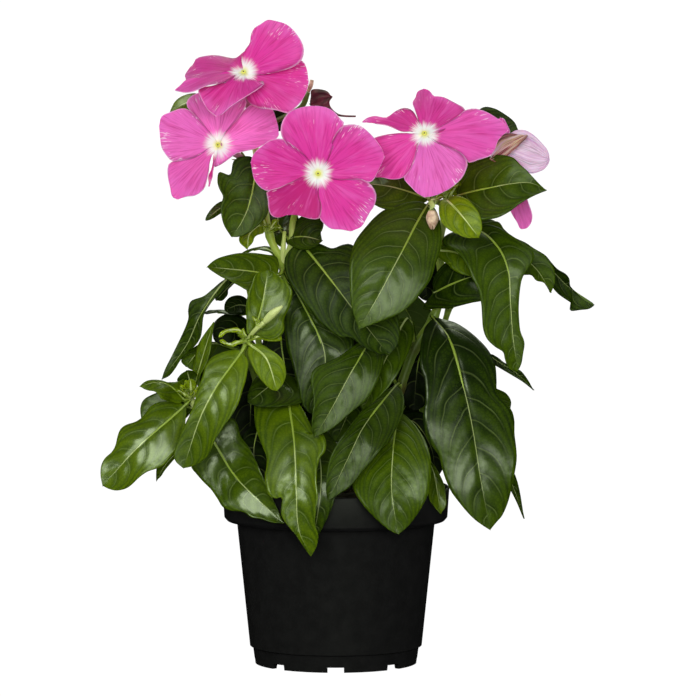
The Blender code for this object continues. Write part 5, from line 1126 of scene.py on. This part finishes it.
leftBloom = {
    "node": "bloom_left", "centre": (-54.1, -13, 239.7), "tube": [(-49, -4.8, 237.3), (-42.3, 4.1, 233.2)],
    "petals": [
        petal((218, 92, 0), (-0.35, -0.9, 0.3),
            [(213, 138), (204, 127), (196, 117), (189, 108), (193, 99), (204, 94)],
            [(224, 137), (233, 127), (242, 116), (248, 106), (244, 98), (232, 93)], over=0.5, tone=-1.8),
        petal((279, 135, -6), (-0.2, -0.95, 0.25),
            [(223, 136), (233, 124), (243, 113), (252, 106), (263, 105), (271, 110), (275, 119), (278, 128)],
            [(217, 156), (214, 168), (221, 165.5), (229, 159.5), (236, 154.5), (246, 152), (257, 149), (268, 142.5),
                (275, 140)], over=0.2, tone=-1.8),
        petal((208.6, 187, -18), (-0.6, -0.75, -0.1),
            [(215, 158), (214, 169), (211.5, 179)],
            [(213, 158), (210.5, 170), (208.8, 180)], over=-0.3, tone=0.7),
        petal((178, 200, -18), (-0.3, -0.95, 0.1),
            [(213, 153), (210, 163), (209, 172), (207, 182), (204, 190), (196, 196), (187, 197)],
            [(208, 150), (199, 156), (188, 160), (176, 162), (170, 165), (168.5, 172), (169, 180), (171, 189),
                (173, 197)], over=0.1, tone=-0.6),
        petal((160, 127, -10), (-0.3, -0.95, 0.2),
            [(209, 150), (201, 155), (192, 159), (182, 161.5), (173, 162), (167, 155), (163, 148), (161, 138)],
            [(214, 138), (206, 128), (198, 119), (190, 111), (182, 109.5), (172, 113.5), (163, 118)], over=0.9,
            tone=-0.9),
    ],
}
middleBloom = {
    "node": "bloom_middle", "centre": (-8.2, -40, 226.6), "tube": [(-11.5, -29, 221), (-16.8, -13.3, 211.7)],
    "petals": [
        petal((316, 106.8, -39), (0, -1, 0.05),
            [(311, 165), (303, 158), (293, 151), (286, 144), (282, 137), (281, 130), (283, 122), (289, 113.5),
                (296, 110), (306, 107.5)],
            [(326, 164), (331, 152), (337, 140), (342, 130), (344, 124), (340, 120), (334, 113), (326, 108.5)],
            over=0.7),
        petal((384, 157, -40), (0.05, -1, 0.05),
            [(325, 163), (330, 148), (335, 136), (342, 127), (352, 125.3), (360, 127), (368, 133), (375, 140.5),
                (381, 149)],
            [(330, 178), (340, 180), (352, 180), (362, 180.5), (368, 183), (373, 180), (377, 172), (381, 164)],
            over=1.1),
        petal((352, 231.5, -42), (0.05, -1, 0),
            [(333, 176), (345, 178), (358, 179), (368, 183), (374, 190), (376, 197), (374, 206), (370, 212),
                (366, 219), (361, 227)],
            [(316, 186), (316, 197), (318, 207), (319, 217), (324, 224), (331, 229), (341, 230)], over=0.1),
        petal((287, 215.5, -43), (0, -1, 0),
            [(319, 184), (318.5, 196), (321.5, 207), (319, 218.5), (311, 219), (303, 217), (295, 215.5)],
            [(310, 175), (299, 179), (289, 184), (278, 189), (267, 192), (268, 200), (269, 210), (273, 216.5),
                (280, 217.5)], over=0.35, tone=0.95),
        petal((251, 163, -40), (-0.05, -1, 0.05),
            [(309, 177), (299, 180), (290, 185), (283, 190), (275, 191.5), (266, 191), (259, 186), (254, 177)],
            [(311, 163), (303, 154), (293, 146), (284, 140), (276, 139.5), (269, 141.5), (262, 147), (255, 154)],
            over=0.5, tone=0.15),
    ],
}
rightBloom = {
    "node": "bloom_right", "centre": (40.7, -24, 245), "tube": [(43.5, -15.5, 237), (48.9, -4.4, 223.95)],
    "petals": [
        petal((423, 89.5, -2), (0, -0.85, 0.5),
            [(421, 129), (418, 120), (415, 112), (412.5, 105), (415, 99), (417, 93)],
            [(434, 136), (448, 130), (460, 121), (465, 112), (452, 105), (442, 100), (434, 98.5), (429.5, 92.5)],
            tone=0.2),
        petal((507.5, 131, -20), (0.15, -0.93, 0.3),
            [(436, 130), (446, 124), (456, 118), (464, 112), (472, 110.5), (480, 112), (488, 115), (497, 120),
                (504, 125)],
            [(433, 141), (440, 145), (449, 149), (458, 154), (464, 159), (468, 164), (478, 161), (488, 158),
                (493, 152), (496, 143), (501, 137)], over=0.6, tone=-0.35),
        petal((424, 198, -34), (0, -0.93, 0.35),
            [(433, 142), (443, 147), (453, 151), (461, 155), (466, 161), (467, 167), (465, 173), (462, 179),
                (456, 185), (449, 190), (440, 194.5), (432, 197)],
            [(418, 142), (416, 152), (414, 160), (411, 168), (407, 174), (403.5, 179), (407, 184), (411, 188),
                (417, 194)], over=0.9, tone=-0.9),
        petal((374, 178, -24), (-0.1, -0.95, 0.3),
            [(420, 144), (418, 154), (415, 163), (410, 172), (403, 178.5), (393, 180), (383, 178)],
            [(414, 135), (402, 134), (390, 135), (381, 137), (374, 140), (370, 150), (370, 164)], over=0.3,
            tone=-0.1),
        petal((362.5, 123, -12), (0, -0.7, 0.7),
            [(412, 132), (402, 132), (392, 129), (380, 126), (370, 123.5)],
            [(420, 127), (417, 121), (413, 115), (408, 111.5), (402, 110.5), (395, 113), (389, 118), (384, 120),
                (376, 119), (368, 119.8)], over=0.5, tone=0.45),
    ],
}


fadedBloom = {
    "node": "faded_bloom", "centre": (77, -5, 239), "neck": [(59.2, 4.2, 223.95), (68, 2.5, 226), (76, -1, 231)],
    "grid": (48, 20), "neckRadii": (1.2, 2.0),
    "petals": [
        leaf([(77, -5, 239), fromPhoto(525, 154, -8), fromPhoto(548.5, 160, -9)],
            leftEdge=[(506, 140), (510, 134), (515, 131), (521, 131), (527, 133), (534, 137.5), (540, 143),
                (545, 149), (548, 155)],
            rightEdge=[(508, 160), (514, 165), (520, 169), (526, 172.5), (531, 174), (537, 172.5), (543, 170),
                (547, 165)],
            face=(0.2, -0.9, 0.3), wave=0.5, tone=0.0),
        leaf([fromPhoto(490, 160, -9), fromPhoto(505, 150, -9), fromPhoto(517, 142, -10), fromPhoto(526.5, 136, -10)],
            leftEdge=[(491, 152), (496, 145), (501, 140.5), (508, 138), (515, 136.5), (521, 135)],
            rightEdge=[(497, 163), (503, 160), (507, 156), (512, 151), (518, 146), (524, 140.5)],
            face=(-0.2, -0.9, 0.3), wave=0.8, tone=0.55),
        # a small petal toned deep maroon: painted shade under the right bloom's petal
        leaf([fromPhoto(492, 150, -6), fromPhoto(503, 141, -7), fromPhoto(517, 136, -8)],
            leftEdge=[(494, 141), (500, 136.5), (507, 134.5), (513, 134)],
            rightEdge=[(499, 149), (505, 144), (511, 141)],
            face=(0, -0.9, 0.3), wave=0.5, tone=0.95),
    ],
    "fresh": petal((500, 118.5, -3), (0, -0.95, 0.3),
        [(494, 142), (491, 132), (493, 122)],
        [(508, 140), (509.5, 133), (507, 126), (504, 121)], tone=-0.6),
    "hanging": petal((521.5, 229.7, -4), (-0.2, -0.95, 0.1),
        [(510, 160), (520, 180), (526, 197), (529.5, 207), (531.5, 213), (532, 218), (530.5, 224), (526.5, 228.5)],
        [(498, 165), (500, 185), (505, 200), (511, 212), (513, 216), (516.5, 222), (519, 228)], tone=-1.2),
}


def addFolded(bm, spec, seed, grid):
    spec["seed"] = seed
    addBlade(bm, spec, [seen(point) for point in spec["path"]], *grid, 0, foldRelief)


def makeFadedBloom(bloom):
    node, centre = bloom["node"], seen(bloom["centre"])
    shuffle = random.Random(node)
    corolla, hanging, neck = freshMesh(), freshMesh(), freshMesh()
    for spec in bloom["petals"]:
        addFolded(corolla, spec, shuffle.random(), bloom["grid"])
    for spec in (bloom["fresh"], bloom["hanging"]):
        addPetal(hanging, spec, centre, shuffle.random())
    addFlowerTube(neck, [seen(point) for point in bloom["neck"]] + [centre], bloom["neckRadii"])
    keep(corolla, node, "_petals", [petalFaded], petalGrain["thickness"])
    keep(hanging, node, "_fresh_petals", [petalFace], petalGrain["thickness"])
    keep(neck, node, "_tube", [tubePink])
    print("made", node)


witheredBloom = {
    "node": "withered_bloom", "neck": [(-12.9, 7.8, 264.6), (-11.5, 7, 267), (-11, 6.5, 269.5)], "seed": 0.4,
    "grid": (36, 16), "neckRadii": (1.1, 0.9), "tailRadii": (0.6, 0.4),
    "lobe": leaf([(-11.8, 7.2, 258), fromPhoto(321, 99, 5), fromPhoto(331.8, 97.5, 4)],
        leftEdge=[(310, 98), (311, 91.5), (317, 90), (323.5, 90.7), (328, 93.3)],
        rightEdge=[(313, 110), (319, 113), (325, 112), (329.5, 108.5), (329, 104), (330, 101)],
        face=(0.1, -0.95, 0.3), wave=0.5, tone=0.5),
    "tail": [(-4, 4.3, 260), (-2.6, 4.2, 256.6), (0.8, 4, 253.7), (4.6, 4, 253), (9.2, 4, 252.9)],
}


def makeWitheredBloom(bloom):
    node = bloom["node"]
    lobe, neck, tail = freshMesh(), freshMesh(), freshMesh()
    addFolded(lobe, bloom["lobe"], bloom["seed"], bloom["grid"])
    addTube(neck, [seen(point) for point in bloom["neck"]], *bloom["neckRadii"])
    addTube(tail, [seen(point) for point in bloom["tail"]], *bloom["tailRadii"])
    keep(lobe, node, "_lobe", [maroonPetal], petalGrain["thickness"])
    keep(neck, node, "_neck", [driedCalyx])
    keep(tail, node, "_tail", [maroonPetal])
    print("made", node)


def spun(bm, profile, steps):                           # radii and heights in mm, turned round the upright axis
    verts = [bm.verts.new((radius * mm, 0, height * mm)) for radius, height in profile]
    edges = [bm.edges.new(pair) for pair in zip(verts, verts[1:])]
    bmesh.ops.spin(bm, geom=verts + edges, cent=(0, 0, 0), axis=(0, 0, 1), angle=2 * pi, steps=steps, use_merge=True)
    bmesh.ops.remove_doubles(bm, verts=bm.verts, dist=0.000005)
    bmesh.ops.recalc_face_normals(bm, faces=bm.faces)
    return bm


driedBud = {
    "node": "dried_bud", "top": (44.2, -30.1, 210), "foot": (44.5, -30.6, 202.5), "ribs": 5, "ribDepth": 0.14,
    "profile": [(1.5, 0), (2.2, 1.2), (2.7, 2.8), (2.6, 4.6), (1.8, 6.4), (0.9, 7.4)],
    "teeth": 5, "toothRadii": (1.0, 0.15), "firstTooth": 0.4,
    "tooth": [(1.6, 2.0), (1.2, -0.2), (0.7, -1.6)],    # a tooth's way out and up from the foot
}


def makeDriedBud(bud):
    bm = spun(freshMesh(), bud["profile"], 20)
    top, foot = seen(bud["top"]), seen(bud["foot"])
    bmesh.ops.holes_fill(bm, edges=bm.edges)
    for vert in bm.verts:                               # dry ribs down the urn
        turn = Vector((vert.co.x, vert.co.y)).angle_signed(Vector((1, 0)), 0.0)
        vert.co.xy *= 1 + bud["ribDepth"] * sin(bud["ribs"] * turn)
    bmesh.ops.transform(bm, verts=bm.verts, matrix=Matrix.Translation(foot) @ upright(top - foot))
    for number in range(bud["teeth"]):
        turn = 2 * pi * number / bud["teeth"] + bud["firstTooth"]
        out = Vector((cos(turn), sin(turn), 0))
        addTube(bm, [foot + out * away * mm + Vector((0, 0, up)) * mm for away, up in bud["tooth"]],
                *bud["toothRadii"], perSpan=3, sides=6)
    keep(bm, bud["node"], "_urn", [driedCalyx])
    print("made", bud["node"])


pot = {
    "rim": 52.5, "height": 82.0, "band": 51.6, "bandBottom": 66.5, "neck": 45.8, "step": 39.8, "stepHeight": 8.2,
    "foot": 37.4, "footWidth": 2.6, "footDepth": 3.0, "pad": 8.0, "wall": 1.3, "floor": 4.6, "slope": 0.6,
    # how far the corners under the band, inside it, at the step and at the floor slope, across and up
    "bandEdge": (1.2, 1.4), "bandInside": (1.0, 2.2), "stepEdge": 1.4, "floorEdge": 1.5,
    "notches": 8, "notchWidth": 7.5, "notchReach": 12,
    "drains": 4, "drainRadius": 3.5, "drainCircle": 22.5, "drainDepth": 20, "drainHeight": 4,
    "steps": 160, "bevel": 0.22, "sharp": 24,           # edges sharper than this, in degrees, are bevelled
}


def cutAway(bm, cutter):                                # what is left of bm outside the cutter
    pieces = []
    for source in (bm, cutter):
        mesh = bpy.data.meshes.new("cut")
        source.to_mesh(mesh)
        source.free()
        pieces.append(placed("cut", mesh))
    cut = pieces[0].modifiers.new("cut", "BOOLEAN")
    cut.operation = "DIFFERENCE"
    cut.solver = "EXACT"
    cut.object = pieces[1]
    bpy.context.view_layer.update()
    done = bmesh.new()
    done.from_mesh(pieces[0].evaluated_get(bpy.context.evaluated_depsgraph_get()).to_mesh())
    for piece in pieces:
        bpy.data.objects.remove(piece)
    return done


def makePot(pot):
    wall, slope = pot["wall"], pot["slope"]
    rim, height, band, bandBottom, neck = (pot[key] for key in ("rim", "height", "band", "bandBottom", "neck"))
    step, stepHeight, foot, footDepth, pad = (pot[key] for key in ("step", "stepHeight", "foot", "footDepth", "pad"))
    bm = spun(bmesh.new(), [                            # up the inside, over the rim, down and under
        (0, pot["floor"]), (step - wall - pot["floorEdge"], pot["floor"]), (step - wall, stepHeight),
        (neck - wall, bandBottom - pot["bandInside"][0]), (band - wall - slope, bandBottom + pot["bandInside"][1]),
        (rim - wall, height - slope), (rim - wall / 2, height), (rim, height - slope),
        (band, bandBottom + pot["bandEdge"][1]), (band - pot["bandEdge"][0], bandBottom), (neck, bandBottom - slope),
        (step, stepHeight), (step - pot["stepEdge"], stepHeight - slope), (foot, 0), (foot - pot["footWidth"], 0),
        (foot - pot["footWidth"] - slope, footDepth), (pad + slope, footDepth), (pad, 0), (0, 0)], pot["steps"])
    cutter = bmesh.new()
    for number in range(pot["notches"]):
        turn = 2 * pi * number / pot["notches"] - pi / 2
        notch = bmesh.ops.create_cube(cutter, size=1.0)["verts"]
        size = (pot["notchReach"] * mm, pot["notchWidth"] * mm, 2 * (footDepth - slope) * mm)
        bmesh.ops.scale(cutter, verts=notch, vec=size)
        bmesh.ops.translate(cutter, verts=notch, vec=(foot * mm, 0, 0))
        bmesh.ops.rotate(cutter, verts=notch, cent=(0, 0, 0), matrix=Matrix.Rotation(turn, 3, "Z"))
    for number in range(pot["drains"]):
        turn = 2 * pi * (number + 0.25) / pot["drains"] - pi / 2
        radius, circle = pot["drainRadius"] * mm, pot["drainCircle"]
        drain = bmesh.ops.create_cone(cutter, cap_ends=True, segments=32, radius1=radius, radius2=radius,
                                      depth=pot["drainDepth"] * mm)["verts"]
        middle = (circle * cos(turn) * mm, circle * sin(turn) * mm, pot["drainHeight"] * mm)
        bmesh.ops.translate(cutter, verts=drain, vec=middle)
    bm = cutAway(bm, cutter)
    sharp = [e for e in bm.edges if len(e.link_faces) == 2 and e.calc_face_angle(0.0) > radians(pot["sharp"])]
    bmesh.ops.bevel(bm, geom=sharp, offset=pot["bevel"] * mm, offset_type="OFFSET", affect="EDGES", segments=2,
                    profile=0.5, material=-1, clamp_overlap=True)
    bmesh.ops.recalc_face_normals(bm, faces=bm.faces)
    keep(bm, "pot", "_shell", [blackPlastic])
    print("made the pot")


soil = {
    "top": 76.2, "crown": 1.2, "edge": 49.1, "edgeDrop": 1.2, "bottom": 8.0, "bottomRadius": 36.0, "rings": 30,
    "steps": 120, "side": [(48.8, 69.5), (44.0, 65.3)],  # radius and height where it follows the pot's band
    "relief": 1.3, "reliefScale": 170, "reliefGrain": (0.7, 2.0, 4), "reliefFrom": 74.5, "reliefEdge": 0.8,
    "crumbs": 260, "crumbSize": (0.7, 2.2), "crumbEdge": 3, "crumbLift": 0.5, "crumbSeed": 7,
}


def makeSoil(soil):
    top, edge, rings, bottom = soil["top"], soil["edge"], soil["rings"], soil["bottom"]
    profile = [(edge * i / rings, top + soil["crown"] * (1 - i / rings) - soil["edgeDrop"] * (i / rings) ** 8)
               for i in range(rings + 1)]
    bm = spun(bmesh.new(), profile + soil["side"] + [(soil["bottomRadius"], bottom), (0, bottom)], soil["steps"])
    for vert in bm.verts:
        if vert.co.z > soil["reliefFrom"] * mm and vert.co.xy.length < (edge - soil["reliefEdge"]) * mm:
            vert.co.z += soil["relief"] * mm * noise.fractal(vert.co * soil["reliefScale"], *soil["reliefGrain"])
    keep(bm, "soil", "_bed", [earth])
    crumbs = bmesh.new()
    shuffle = random.Random(soil["crumbSeed"])
    for number in range(soil["crumbs"]):
        size = shuffle.uniform(*soil["crumbSize"]) * mm
        turn, out = shuffle.uniform(0, 2 * pi), (edge - soil["crumbEdge"]) * mm * shuffle.random() ** 0.5
        lump = bmesh.ops.create_icosphere(crumbs, subdivisions=1, radius=size)["verts"]
        for vert in lump:
            vert.co *= 1 + shuffle.uniform(-0.25, 0.25)
        bmesh.ops.scale(crumbs, verts=lump, vec=(1, shuffle.uniform(0.5, 1), shuffle.uniform(0.35, 0.7)))
        bmesh.ops.rotate(crumbs, verts=lump, cent=(0, 0, 0), matrix=Matrix.Rotation(shuffle.uniform(0, pi), 3, "Z"))
        middle = (out * cos(turn), out * sin(turn), (top + soil["crumbLift"]) * mm)
        bmesh.ops.translate(crumbs, verts=lump, vec=middle)
    keep(crumbs, "soil", "_crumbs", [bark])
    print("made the soil")


makePot(pot)
makeSoil(soil)
for stem in (leftStem, rightStem, middleShoot, lowShoot, backLeftStem, backStem, backRightStem):
    makeStem(stem)
for bloom in (topLeftBloom, leftBloom, middleBloom, rightBloom):
    makeBloom(bloom)
makeFadedBloom(fadedBloom)
makeWitheredBloom(witheredBloom)
makeDriedBud(driedBud)

studio = {
    "floorSize": 8.0, "floorBase": 0.3, "back": 1.05, "fill": 0.07,
    "cameraPlace": (0.0056, -2.5, 0.338), "cameraAim": (0.0056, 0, 0.146), "lens": 281, "sensor": 36, "farthest": 50,
    "white": (1, 1, 1), "sheen": (0.88, 1, 0.72), "lightAim": (0, 0, 0.14),
    # name, place, power and size, of the lamps whose light lands and of those that only show in the gloss
    "lamps": [("key", (-0.5, -2.4, 0.8), 36, 1.3), ("front", (0.6, -2.4, 0.5), 18, 1.0),
              ("top", (0.1, -0.2, 1.9), 4, 1.2), ("left_side", (-2.3, 0.9, 0.7), 30, 1.2),
              ("right_side", (2.3, 0.9, 0.7), 30, 1.2), ("back", (-0.3, 2.4, 0.8), 34, 1.3)],
    "sheenLamps": [("back_sheen", (0.5, 1.5, 1.7), 24, 1.2), ("sheen", (-0.8, -1.3, 1.9), 46, 1.4),
                   ("front_sheen", (0.3, -2.4, 0.8), 20, 1.2)],
}


def aim(item, place, target):
    item.location = place
    item.rotation_euler = (Vector(target) - Vector(place)).to_track_quat("-Z", "Y").to_euler()


def showBright(tree, lit, bright, end):                 # the camera sees the bright shader, other rays the lit one
    rays = tree.nodes.new("ShaderNodeLightPath")
    choice = tree.nodes.new("ShaderNodeMixShader")
    tree.links.new(rays.outputs["Is Camera Ray"], choice.inputs[0])
    tree.links.new(lit.outputs[0], choice.inputs[1])
    tree.links.new(bright.outputs[0], choice.inputs[2])
    tree.links.new(choice.outputs[0], tree.nodes[end].inputs[0])


def makeStudio(studio):
    bm = bmesh.new()
    bmesh.ops.create_grid(bm, x_segments=8, y_segments=8, size=studio["floorSize"] / 2)
    mesh = bpy.data.meshes.new("floor")
    bm.to_mesh(mesh)
    bm.free()
    floor = placed("floor", mesh)
    base = studio["floorBase"]
    pale = Finish("pale_floor", Base_Color=(base, base, base, 1.0), Roughness=0.9)
    glow = pale.tree.nodes.new("ShaderNodeEmission")
    glow.inputs["Strength"].default_value = studio["back"]
    showBright(pale.tree, pale.shader, glow, "Material Output")
    mesh.materials.append(pale.material)
    floor.visible_glossy = False
    world = bpy.data.worlds.new("white_room")
    world.use_nodes = True
    tree = world.node_tree
    ground, seenBack = tree.nodes["Background"], tree.nodes.new("ShaderNodeBackground")
    for shader, strength in ((ground, studio["fill"]), (seenBack, studio["back"])):
        shader.inputs["Color"].default_value = (*studio["white"], 1)
        shader.inputs["Strength"].default_value = strength
    showBright(tree, ground, seenBack, "World Output")
    world.cycles_visibility.glossy = False
    bpy.context.scene.world = world
    for lands, colour, lamps in ((True, studio["white"], studio["lamps"]),
                                 (False, studio["sheen"], studio["sheenLamps"])):
        for name, place, power, size in lamps:
            lamp = bpy.data.lights.new(name, "AREA")
            lamp.energy = power
            lamp.size = size
            lamp.color = colour
            light = placed(name, lamp)
            light.visible_diffuse = lands
            light.visible_glossy = not lands
            aim(light, place, studio["lightAim"])
    lens = bpy.data.cameras.new("camera")
    lens.lens = studio["lens"]
    lens.sensor_width = studio["sensor"]
    lens.clip_end = studio["farthest"]
    camera = placed("camera", lens)
    aim(camera, studio["cameraPlace"], studio["cameraAim"])
    bpy.context.scene.camera = camera
    bpy.context.scene.view_settings.view_transform = "Standard"
    print("studio made")


makeStudio(studio)
